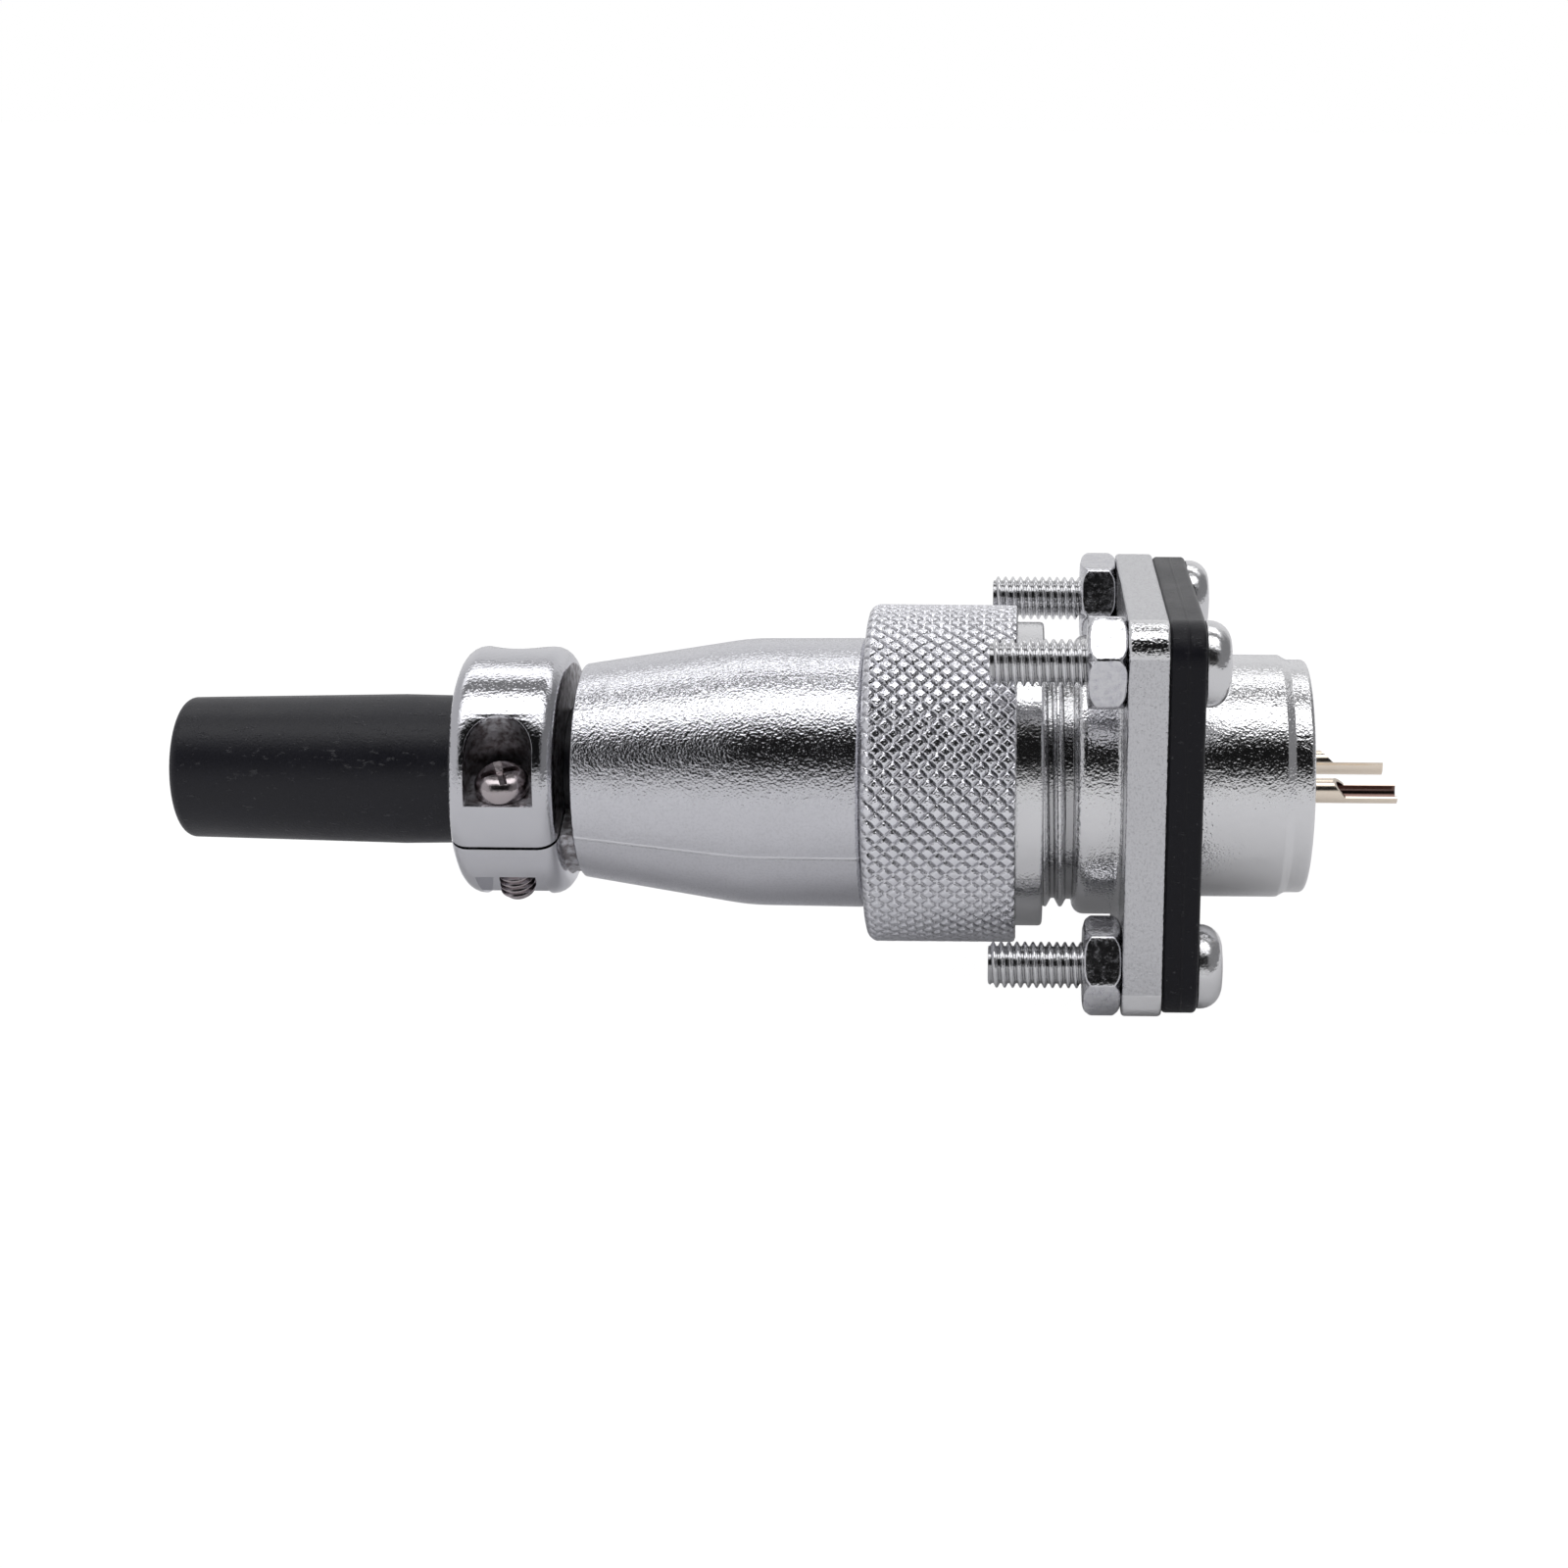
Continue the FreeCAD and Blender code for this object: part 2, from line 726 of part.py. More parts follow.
def make_plug_shell():
    """The plug's turned inner shell: nose, shoulder, neck and the stub for the backshell."""
    body = new_body("plug_shell")
    groove_front = plug_insert_rear - size.snap_thickness - size.insert_play
    turn(body, [
        (nose_tip, size.plug_stop_radius),
        (nose_tip, nose_radius - size.nose_chamfer),
        (nose_tip - size.nose_chamfer, nose_radius),
        (shoulder_front, nose_radius),
        (shoulder_front, shoulder_radius),
        (shoulder_rear, shoulder_radius),
        (shoulder_rear, neck_radius),
        (backshell_front, neck_radius),
        (backshell_front, stub_radius),
        (stub_end, stub_radius),
        (stub_end, size.plug_bore),
        (groove_front, size.plug_bore),
        (groove_front, plug_snap_radius),
        (plug_insert_rear, plug_snap_radius),
        (plug_insert_rear, size.plug_bore),
        (plug_insert_front, size.plug_bore),
        (plug_insert_front, size.plug_stop_radius),
    ])
    half = size.key_width / 2 + size.key_play
    floor = size.socket_radius - size.key_height - size.key_play
    start = rim + size.key_setback - size.key_end_play
    mouth = nose_tip + OVERCUT
    sketch = new_sketch(body, "XY_Plane", floor)
    add_outline(sketch, [(start, -half), (mouth, -half), (mouth, half), (start, half)])
    pocket(body, sketch, upwards=True)
    return body


def make_plug_insert():
    """The moulded insulator that holds the two socket contacts in the plug."""
    body = new_body("plug_insert")
    outside = size.plug_bore - size.insert_play
    turn(body, [
        (plug_insert_rear, 0),
        (plug_insert_rear, outside),
        (plug_insert_front, outside),
        (plug_insert_front, 0),
    ])
    sketch = new_sketch(body, "YZ_Plane", plug_insert_front)
    for side in (-1, 1):
        add_circle(sketch, side * size.contact_offset, 0,
                   size.socket_contact_bore + size.socket_mouth_play)
    pocket(body, sketch)
    sketch = new_sketch(body, "YZ_Plane", plug_insert_front - size.socket_contact_recess)
    for side in (-1, 1):
        add_circle(sketch, side * size.contact_offset, 0,
                   size.socket_contact_radius + size.pin_play)
    pocket(body, sketch)
    return body


def make_coupling_ring():
    """The ring that turns on the plug: grip band, smooth nose, and a lip behind the shoulder."""
    body = new_body("coupling_ring")
    lip_bore = neck_radius + size.ring_play
    turn(body, [
        (ring_rear, lip_bore),
        (ring_rear, ring_radius),
        (ring_front, ring_radius),
        (ring_front, ring_nose_radius),
        (ring_mouth - size.ring_nose_edge, ring_nose_radius),
        (ring_mouth, ring_nose_radius - size.ring_nose_edge),
        (ring_mouth, ring_bore + size.ring_mouth_chamfer),
        (ring_mouth - size.ring_mouth_chamfer, ring_bore),
        (ring_lip_front, ring_bore),
        (ring_lip_front, lip_bore),
    ])
    round_edges(body, size.ring_rear_round,
                lambda edge: is_circle(edge, ring_rear, ring_radius))
    round_edges(body, size.ring_front_edge,
                lambda edge: is_circle(edge, ring_front, ring_radius))
    return body


def clamp_ring_corners():
    """The section of the clamp, with the neck that joins its fixed half to the backshell."""
    return [
        (clamp_rear, sleeve_passage),
        (clamp_rear, size.clamp_radius),
        (clamp_front, size.clamp_radius),
        (clamp_front, size.clamp_neck_radius),
        (backshell_end, size.clamp_neck_radius),
        (backshell_end, sleeve_passage),
    ]


def round_clamp(body):
    """Rounds both outer rims of the clamp."""
    def on_rim(edge):
        return (is_circle(edge, clamp_rear, size.clamp_radius)
                or is_circle(edge, clamp_front, size.clamp_radius))
    round_edges(body, size.clamp_round, on_rim)


def add_box_outline(sketch, left, right, bottom, top):
    """An upright rectangle between four sizes."""
    add_outline(sketch, [(left, bottom), (right, bottom), (right, top), (left, top)])


def make_backshell():
    """The cast backshell: straight collar, long taper, and the fixed half of the cable clamp."""
    body = new_body("backshell")
    waist = backshell_front - size.backshell_straight
    waist_radius = backshell_radius - size.backshell_draft
    inner_waist = waist_radius - size.backshell_wall - size.backshell_draft
    inner_end = backshell_end + size.backshell_wall
    turn(body, [
        (backshell_front, backshell_bore),
        (backshell_front, backshell_radius - size.backshell_edge),
        (backshell_front - size.backshell_edge, backshell_radius),
        (waist, waist_radius),
        (backshell_end, size.backshell_end_radius),
        (backshell_end, sleeve_passage),
        (inner_end, sleeve_passage),
        (inner_end, size.backshell_end_radius - size.backshell_wall),
        (waist, inner_waist - size.backshell_draft),
        (waist, size.backshell_step),
        (o_ring_seat, size.backshell_step),
        (o_ring_seat, backshell_bore),
    ])
    round_edges(body, size.backshell_blend, lambda edge: is_circle(edge, waist, waist_radius))
    turn(body, clamp_ring_corners())
    round_clamp(body)
    sketch = new_sketch(body, "XY_Plane", size.clamp_parting - size.clamp_gap / 2)
    reach = size.clamp_radius + OVERCUT
    add_box_outline(sketch, clamp_rear - OVERCUT, backshell_end, -reach, reach)
    pocket(body, sketch, upwards=True)
    sketch = new_sketch(body, "XY_Plane", -size.clamp_notch_floor)
    for side in (-1, 1):
        inner = side * (size.clamp_screw_offset - size.clamp_screw_radius - size.clamp_gap)
        add_box_outline(sketch, clamp_middle - size.clamp_pocket, clamp_middle + size.clamp_pocket,
                        inner, side * reach)
    pocket(body, sketch)
    add_clamp_screw_holes(body, size.clamp_screw_radius + size.pin_play)
    tilt_with_clamp(body)
    return body


def add_clamp_screw_holes(body, radius):
    """The two screw holes square to the clamp's parting plane."""
    sketch = new_sketch(body, "XY_Plane", size.clamp_radius)
    for side in (-1, 1):
        add_circle(sketch, clamp_middle, side * size.clamp_screw_offset, radius)
    pocket(body, sketch)


def make_cable_saddle():
    """The loose half of the clamp, with a pocket for each screw head."""
    body = new_body("cable_saddle")
    turn(body, [
        (clamp_rear, sleeve_passage),
        (clamp_rear, size.clamp_radius),
        (clamp_front, size.clamp_radius),
        (clamp_front, sleeve_passage),
    ])
    round_clamp(body)
    reach = size.clamp_radius + OVERCUT
    sketch = new_sketch(body, "XY_Plane", size.clamp_parting + size.clamp_gap / 2)
    add_box_outline(sketch, clamp_rear - OVERCUT, clamp_front + OVERCUT, -reach, reach)
    pocket(body, sketch)
    sketch = new_sketch(body, "XY_Plane", size.clamp_floor)
    for side in (-1, 1):
        add_circle(sketch, clamp_middle, side * size.clamp_screw_offset, size.clamp_pocket)
    pocket(body, sketch, upwards=True)
    sketch = new_sketch(body, "XY_Plane", size.clamp_floor)
    for side in (-1, 1):
        add_box_outline(sketch, clamp_middle - size.clamp_pocket, clamp_middle + size.clamp_pocket,
                        side * size.clamp_screw_offset, side * reach)
    pocket(body, sketch, upwards=True)
    add_clamp_screw_holes(body, size.clamp_screw_radius + size.slide_play)
    tilt_with_clamp(body)
    return body


def make_clamp_screws():
    """The two screws that draw the saddle down on the sleeve."""
    length = size.clamp_floor + size.clamp_screw_below
    screw = make_screw("clamp_screw_pattern", size.clamp_screw_radius, length,
                       size.clamp_screw_point, size.clamp_head_radius, size.clamp_head_height,
                       size.clamp_head_round,
                       (size.clamp_recess_depth, size.clamp_recess_arm, size.clamp_recess_width))
    placements = []
    for side, angle in zip((-1, 1), CLAMP_RECESS_TURNS):
        offset = side * size.clamp_screw_offset
        place = Vector(clamp_middle.value, offset.value, size.clamp_floor.value)
        placements.append(FreeCAD.Placement(place, FreeCAD.Rotation(Vector(0, 0, 1), angle)))
    group = copies("clamp_screws", screw, placements)
    tilt_with_clamp(group)
    return group


def make_backshell_o_ring():
    """The rubber ring between the stub's end and the backshell's inner step."""
    ring = doc.addObject("Part::Torus", "backshell_o_ring")
    ring.Label = "backshell_o_ring"
    tube = size.o_ring_thickness / 2
    ring.setExpression("Radius1", (stub_radius - size.insert_play - tube).formula)
    ring.setExpression("Radius2", tube.formula)
    ring.Placement = FreeCAD.Placement(Vector(), FreeCAD.Rotation(Vector(0, 1, 0), 90))
    ring.setExpression("Placement.Base.x", (stub_end - tube).formula)
    return ring


def make_cable_sleeve():
    """The rubber sleeve that the clamp grips, open right through for the cable."""
    body = new_body("cable_sleeve")
    swell = clamp_rear - size.sleeve_swell
    turn(body, [
        (sleeve_front, size.sleeve_bore),
        (sleeve_front, size.sleeve_grip_radius),
        (clamp_rear, size.sleeve_grip_radius),
        (clamp_rear, size.sleeve_neck_radius),
        (swell, size.sleeve_radius),
        (sleeve_end, size.sleeve_end_radius),
        (sleeve_end, size.sleeve_bore),
    ])
    round_edges(body, size.sleeve_round,
                lambda edge: is_circle(edge, sleeve_end, size.sleeve_end_radius))
    return body


def check_document(pieces):
    """Stops if any object failed, or any piece is not a sound solid."""
    doc.recompute()
    for item in doc.Objects:
        if "Invalid" in item.State or "Error" in item.State:
            raise RuntimeError(f"{item.Label} failed: {item.State}")
    for piece in pieces:
        if piece.Shape.isNull() or not piece.Shape.isValid() or not piece.Shape.Solids:
            raise RuntimeError(f"{piece.Label} is not a sound solid")


def main():
    """Builds every piece and writes one file for each."""
    pieces = [
        make_receptacle_shell(),
        make_receptacle_insert(),
        make_pin_contact("pin_contact_front", -1, size.cup_turn_front),
        make_pin_contact("pin_contact_back", 1, size.cup_turn_back),
        make_snap_ring("receptacle_snap_ring", insert_rear, snap_radius),
        make_flange_gasket(),
        make_flange_screws(),
        make_flange_nuts(),
        make_face_seal(),
        make_plug_shell(),
        make_plug_insert(),
        make_socket_contact("socket_contact_front", -1, size.cup_turn_front),
        make_socket_contact("socket_contact_back", 1, size.cup_turn_back),
        make_snap_ring("plug_snap_ring", plug_insert_rear - size.snap_thickness, plug_snap_radius),
        make_coupling_ring(),
        make_backshell(),
        make_backshell_o_ring(),
        make_cable_saddle(),
        make_clamp_screws(),
        make_cable_sleeve(),
    ]
    check_document(pieces)
    os.makedirs("parts", exist_ok=True)
    for piece in pieces:
        piece.Shape.exportStep(f"parts/{piece.Label}.step")
        box = piece.Shape.BoundBox
        print(f"{piece.Label}: {len(piece.Shape.Solids)} solid(s), {piece.Shape.Volume:.1f} mm3, "
              f"X {box.XMin:.2f} to {box.XMax:.2f}, Z {box.ZMin:.2f} to {box.ZMax:.2f}")


main()
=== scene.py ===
"""Looks for a round connector pair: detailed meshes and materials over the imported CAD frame.

Shapes are worked out in millimetres along the connector's axis X, and scaled once, as a piece is
made. Stations and radii repeat the CAD source's.
"""
import json
import math

import bmesh
import bpy
from mathutils import Matrix, Vector


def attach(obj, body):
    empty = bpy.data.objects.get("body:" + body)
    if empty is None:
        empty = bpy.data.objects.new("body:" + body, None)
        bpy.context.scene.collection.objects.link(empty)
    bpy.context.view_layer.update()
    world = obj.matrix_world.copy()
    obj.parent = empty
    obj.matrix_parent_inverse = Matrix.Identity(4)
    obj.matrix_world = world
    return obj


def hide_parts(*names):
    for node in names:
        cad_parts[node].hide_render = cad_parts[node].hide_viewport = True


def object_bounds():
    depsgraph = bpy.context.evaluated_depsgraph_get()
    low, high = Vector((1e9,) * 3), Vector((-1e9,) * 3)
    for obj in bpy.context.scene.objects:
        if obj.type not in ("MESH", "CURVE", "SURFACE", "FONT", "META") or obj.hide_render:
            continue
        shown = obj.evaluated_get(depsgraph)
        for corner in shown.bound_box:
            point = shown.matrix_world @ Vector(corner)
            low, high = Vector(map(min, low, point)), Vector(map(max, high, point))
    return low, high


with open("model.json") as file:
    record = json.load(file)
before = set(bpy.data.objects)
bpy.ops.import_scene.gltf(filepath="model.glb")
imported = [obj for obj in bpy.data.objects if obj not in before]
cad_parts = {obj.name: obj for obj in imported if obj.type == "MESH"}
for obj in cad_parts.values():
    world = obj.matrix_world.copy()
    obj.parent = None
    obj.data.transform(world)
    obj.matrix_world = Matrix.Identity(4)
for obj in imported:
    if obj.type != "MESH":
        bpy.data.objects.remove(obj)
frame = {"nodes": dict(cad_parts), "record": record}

CAD_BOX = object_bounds()
MM = 0.001
SCENE = bpy.context.scene

# Stations along X
GASKET_FRONT = -2.2
FLANGE_FRONT = -4.7
COLLAR_FRONT = -7.7
RELIEF_FRONT = -8.2
RIM = -17.0
SOCKET_FLOOR = -6.0
INSERT_FRONT = -5.2
INSERT_REAR = 4.8
REAR_END = 7.4
CONTACT_OFFSET = 3.4
RING_REAR = -20.9
RING_FRONT = -11.3
RING_MOUTH = -9.6
BACKSHELL_FRONT = -21.0
O_RING_SEAT = -27.0
WAIST = -28.6
BACKSHELL_END = -39.3
CLAMP_FRONT = -40.2
CLAMP_REAR = -46.95
CLAMP_MIDDLE = (CLAMP_FRONT + CLAMP_REAR) / 2

# Receptacle's radii and roundings
SOCKET_RADIUS = 7.2
BARREL_RADIUS = 8.65
BARREL_PITCH = 1.0
THREAD_ROOT = 8.1
THREAD_CORE = 8.06
RELIEF_RADIUS = 8.15
COLLAR_RADIUS = 9.1
COLLAR_ROUND = 0.8
COLLAR_FILLET = 0.45
INSIDE_FLANGE = 9.9
REAR_RADIUS = 7.9
REAR_STEP_START = 5.6
REAR_STEP_END = 6.15
REAR_STEP_RADIUS = 7.6
REAR_EDGE = 0.35
INSERT_BORE = 6.4
SNAP_GROOVE_RADIUS = 6.9
SNAP_GROOVE_WIDTH = 0.8
INSERT_STOP_RADIUS = 5.7

# Coupling ring's radii and roundings
RING_RADIUS = 11.0
RING_REAR_ROUND = 0.8
RING_FRONT_EDGE = 0.3
RING_NOSE_RADIUS = 9.9
RING_NOSE_EDGE = 0.25
RING_BORE = 8.75
RING_MOUTH_CHAMFER = 0.4
RING_LIP_FRONT = -19.4
RING_LIP_RADIUS = 8.0

# Backshell's radii, wall and roundings
BACKSHELL_BORE = 7.45
BACKSHELL_RADIUS = 8.78
BACKSHELL_EDGE = 0.35
WAIST_RADIUS = 8.7
WAIST_BLEND = 15.0
BACKSHELL_END_RADIUS = 6.95
O_RING_LAND = 6.0
HOLLOW_RADIUS = 6.94
HOLLOW_END_RADIUS = 5.35
BACKSHELL_WALL = 1.6
NECK_RADIUS = 6.6

# Flange and its fasteners
FLANGE_SIDE = 25.2
FLANGE_CORNER = 2.0
FLANGE_EDGE = 0.25
HALF_PITCH = 9.7
HOLE_RADIUS = 1.6
SCREW_RADIUS = 1.45
SCREW_ROOT = 1.17
SCREW_LENGTH = 13.0
NUT_FLATS = 5.5
NUT_THICKNESS = 2.4
NUT_CORNER = 0.28
NUT_EDGE = 0.18
# How far a nut's faces fall away at its corners, and how steeply
NUT_FALL = 0.48
NUT_FALL_POWER = 3.5
FASTENER_PLACES = ((-HALF_PITCH, HALF_PITCH), (-HALF_PITCH, -HALF_PITCH),
                   (HALF_PITCH, -HALF_PITCH), (HALF_PITCH, HALF_PITCH))
# How far each one is turned, in degrees
SCREW_TURNS = (12, 38, 65, 27)
NUT_TURNS = (45.7, 24.4, 33.0, 18.7)

# Clamp
CLAMP_TILT = math.radians(24)
CLAMP_RADIUS = 8.05
CLAMP_ROUND = 1.2
CLAMP_EDGE = 0.15
CLAMP_SOFT_EDGE = 0.12
CLAMP_PASSAGE = 4.03
CLAMP_PARTING = 0.2
CLAMP_GAP = 0.2
CLAMP_SCREW_OFFSET = 5.6
CLAMP_SCREW_BELOW = 5.6
CLAMP_SCREW_RADIUS = 1.15
CLAMP_FLOOR = 3.1
CLAMP_POCKET = 2.15
CLAMP_NOTCH_FLOOR = 2.6
# A small turn that keeps the blank's mesh edges out of the parting plane
BLANK_TURN = math.radians(1)
# How far a cutter reaches past the clamp
BEYOND = 10.0

# One pitch of a thread, as (share of the pitch, share of the depth)
THREAD_SHAPE = ((0.0, 0.0), (0.1, 0.0), (0.38, 0.92), (0.46, 1.0), (0.54, 1.0), (0.62, 0.92),
                (0.9, 0.0))
# How far a thread's own tube reaches into the core under it
THREAD_WALL = 0.12
# Where the barrel's thread starts, in degrees round the axis
THREAD_TURN = 227.0


class Shape:
    """Points in millimetres and faces, gathered from the closed forms of one piece."""

    def __init__(self, points=(), faces=()):
        self.points = [Vector(point) for point in points]
        self.faces = [list(face) for face in faces]

    def add(self, other, place=None):
        """Takes in another shape, moved by a matrix if one is given."""
        first = len(self.points)
        for point in other.points:
            self.points.append(place @ point if place else point)
        for face in other.faces:
            self.faces.append([first + index for index in face])
        return self


def unit(point, origin):
    """The direction from one outline point to another."""
    along, up = point[0] - origin[0], point[1] - origin[1]
    length = math.hypot(along, up)
    return along / length, up / length


def rounded(corners, steps=6):
    """An outline of (along, radius, rounding) corners, each one turned into its arc."""
    outline = []
    for number, (along, up, radius) in enumerate(corners):
        if not radius:
            outline.append((along, up))
            continue
        before = unit(corners[number - 1], (along, up))
        after = unit(corners[(number + 1) % len(corners)], (along, up))
        half = math.acos(before[0] * after[0] + before[1] * after[1]) / 2
        reach = radius / math.sin(half)
        middle = unit((before[0] + after[0], before[1] + after[1]), (0, 0))
        centre = (along + middle[0] * reach, up + middle[1] * reach)
        run = radius / math.tan(half)
        start = math.atan2(up + before[1] * run - centre[1], along + before[0] * run - centre[0])
        end = math.atan2(up + after[1] * run - centre[1], along + after[0] * run - centre[0])
        sweep = (end - start + math.pi) % (2 * math.pi) - math.pi
        for step in range(steps + 1):
            angle = start + sweep * step / steps
            outline.append((centre[0] + radius * math.cos(angle),
                            centre[1] + radius * math.sin(angle)))
    return outline


def around(count):
    """The cosine and sine of each of a number of equal steps about X."""
    return [(math.cos(2 * math.pi * step / count), math.sin(2 * math.pi * step / count))
            for step in range(count)]


def band(rows, closed):
    """Faces between rows of equally many points, wound so that they face outwards."""
    count = len(rows[0])
    faces = []
    last = len(rows) if closed else len(rows) - 1
    for row in range(last):
        here = row * count
        there = (row + 1) % len(rows) * count
        for step in range(count):
            following = (step + 1) % count
            faces.append([here + step, here + following, there + following, there + step])
    return Shape([point for row in rows for point in row], faces)


def capped(rows):
    """A band whose first and last rows are filled in."""
    shape = band(rows, closed=False)
    count = len(rows[0])
    total = len(shape.points)
    shape.faces.append(list(range(count))[::-1])
    shape.faces.append(list(range(total - count, total)))
    return shape


def lathe(outline, count=160, closed=True):
    """An outline turned about X. Its outer side runs towards +X."""
    circle = around(count)
    return band([[(along, radius * cos, radius * sin) for cos, sin in circle]
                 for along, radius in outline], closed)


def thread(start, end, root, crest, pitch, count=96, limit=None):
    """A right-handed thread as a closed tube, to be joined to the core that it runs round."""
    rows = []
    for turn in range(-1, math.ceil((end - start) / pitch) + 1):
        rows += [(turn + share, height) for share, height in THREAD_SHAPE]
    shape = Shape()
    for share, height in rows:
        for step, (cos, sin) in enumerate(around(count)):
            along = start + (share + step / count) * pitch
            radius = root + (crest - root) * height
            if along <= start or along >= end:
                radius = root
            along = min(max(along, start), end)
            if limit:
                radius = min(radius, limit(along))
            shape.points.append(Vector((along, radius * cos, radius * sin)))
    for row in range(len(rows) - 1):
        for step in range(count):
            here, there, following = row * count, (row + 1) * count, step + 1
            if following == count:
                following = 0
                lead = len(THREAD_SHAPE) * count
                if there + lead >= len(shape.points):
                    continue
                shape.faces.append([here + step, here + lead, there + lead, there + step])
                continue
            shape.faces.append([here + step, here + following, there + following, there + step])
    outside = len(shape.points) - count
    inner = band([[(along, (root - THREAD_WALL) * cos, (root - THREAD_WALL) * sin)
                   for cos, sin in around(count)] for along in (start, end)], closed=False)
    first = len(shape.points)
    shape.points += inner.points
    for step in range(count):
        following = (step + 1) % count
        shape.faces.append([first + step, first + following, following, step])
        shape.faces.append([outside + step, outside + following,
                            first + count + following, first + count + step])
        shape.faces.append([first + count + step, first + count + following,
                            first + following, first + step])
    return shape


def temporary(shape):
    """An object that only lives while a shape is being cut."""
    mesh = bpy.data.meshes.new("cutting")
    mesh.from_pydata(shape.points, [], shape.faces)
    tidy_mesh(mesh, 1e-5)
    made = bpy.data.objects.new("cutting", mesh)
    SCENE.collection.objects.link(made)
    return made


def tidy_mesh(mesh, distance):
    """Joins points that meet, and drops the faces that vanish with them."""
    editing = bmesh.new()
    editing.from_mesh(mesh)
    bmesh.ops.remove_doubles(editing, verts=editing.verts, dist=distance)
    bmesh.ops.dissolve_degenerate(editing, edges=editing.edges, dist=distance)
    editing.to_mesh(mesh)
    editing.free()


def taken(mesh):
    """A mesh's points and faces as a shape. The mesh itself is removed."""
    shape = Shape([point.co for point in mesh.vertices], [face.vertices for face in mesh.polygons])
    bpy.data.meshes.remove(mesh)
    return shape


def cut(shape, cutters, operation="DIFFERENCE"):
    """A shape with other shapes cut out of it."""
    blank = temporary(shape)
    tools = [temporary(cutter) for cutter in cutters]
    for tool in tools:
        step = blank.modifiers.new("cut", "BOOLEAN")
        step.operation = operation
        step.solver = "EXACT"
        step.object = tool
    result = taken(bpy.data.meshes.new_from_object(
        blank.evaluated_get(bpy.context.evaluated_depsgraph_get())))
    for made in [blank] + tools:
        bpy.data.meshes.remove(made.data)
    return result


def join(shape, others):
    """A shape grown together with others that run into it, as one closed surface."""
    return cut(shape, others, "UNION")


def soften(shape, width, angle=35):
    """A shape with its sharp edges rounded off."""
    mesh = bpy.data.meshes.new("softening")
    mesh.from_pydata(shape.points, [], shape.faces)
    tidy_mesh(mesh, 0.01)
    editing = bmesh.new()
    editing.from_mesh(mesh)
    limit = math.radians(angle)
    sharp = [edge for edge in editing.edges
             if edge.is_manifold and edge.calc_face_angle() > limit]
    bmesh.ops.bevel(editing, geom=sharp, offset=width, offset_type="OFFSET", segments=2,
                    profile=0.5, affect="EDGES", clamp_overlap=True)
    editing.to_mesh(mesh)
    editing.free()
    return taken(mesh)


def prism(outline, bottom, top):
    """An outline of (along, across) points raised between two heights."""
    return capped([[(along, across, up) for along, across in outline] for up in (bottom, top)])


BODIES = {node: body for body, nodes in frame["record"]["behaviour"]["bodies"].items()
          for node in nodes}


def add_piece(name, shape, material, node, sharp=40):
    """A piece of the scene that stands for a CAD node and rides on that node's body."""
    mesh = bpy.data.meshes.new(name)
    mesh.from_pydata([point * MM for point in shape.points], [], shape.faces)
    tidy_mesh(mesh, 1e-8)
    mesh.shade_smooth()
    mesh.set_sharp_from_angle(angle=math.radians(sharp))
    mesh.materials.append(material)
    piece = bpy.data.objects.new(name, mesh)
    SCENE.collection.objects.link(piece)
    piece.modifiers.new("even_normals", "WEIGHTED_NORMAL").keep_sharp = True
    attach(piece, BODIES[node])
    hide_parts(node)


def dress(node, material):
    """Gives a CAD node that keeps its own shape a better material."""
    for place in frame["nodes"][node].material_slots:
        place.link = "OBJECT"
        place.material = material


# Materials

class Nodes:
    """The nodes of a material or a world under construction, with short calls for them."""

    def __init__(self, owner):
        owner.use_nodes = True
        self.tree = owner.node_tree
        self.tree.nodes.clear()

    def feed(self, socket, value):
        """Gives an input a number, a colour or another node's output."""
        if isinstance(value, bpy.types.NodeSocket):
            self.tree.links.new(value, socket)
        else:
            socket.default_value = value

    def node(self, kind, inputs=None, **settings):
        """A new node with its settings and inputs."""
        made = self.tree.nodes.new("ShaderNode" + kind)
        for key, value in settings.items():
            setattr(made, key, value)
        for key, value in (inputs or {}).items():
            self.feed(made.inputs[key], value)
        return made

    def math(self, operation, first, second=0.0, clamped=False):
        """One step of arithmetic, its result held between nought and one if wanted."""
        return self.node("Math", {0: first, 1: second}, operation=operation,
                         use_clamp=clamped).outputs["Value"]

    def blend(self, share, first, second):
        """A colour between two others."""
        return self.node("Mix", {0: share, 6: first, 7: second}, data_type="RGBA").outputs[2]


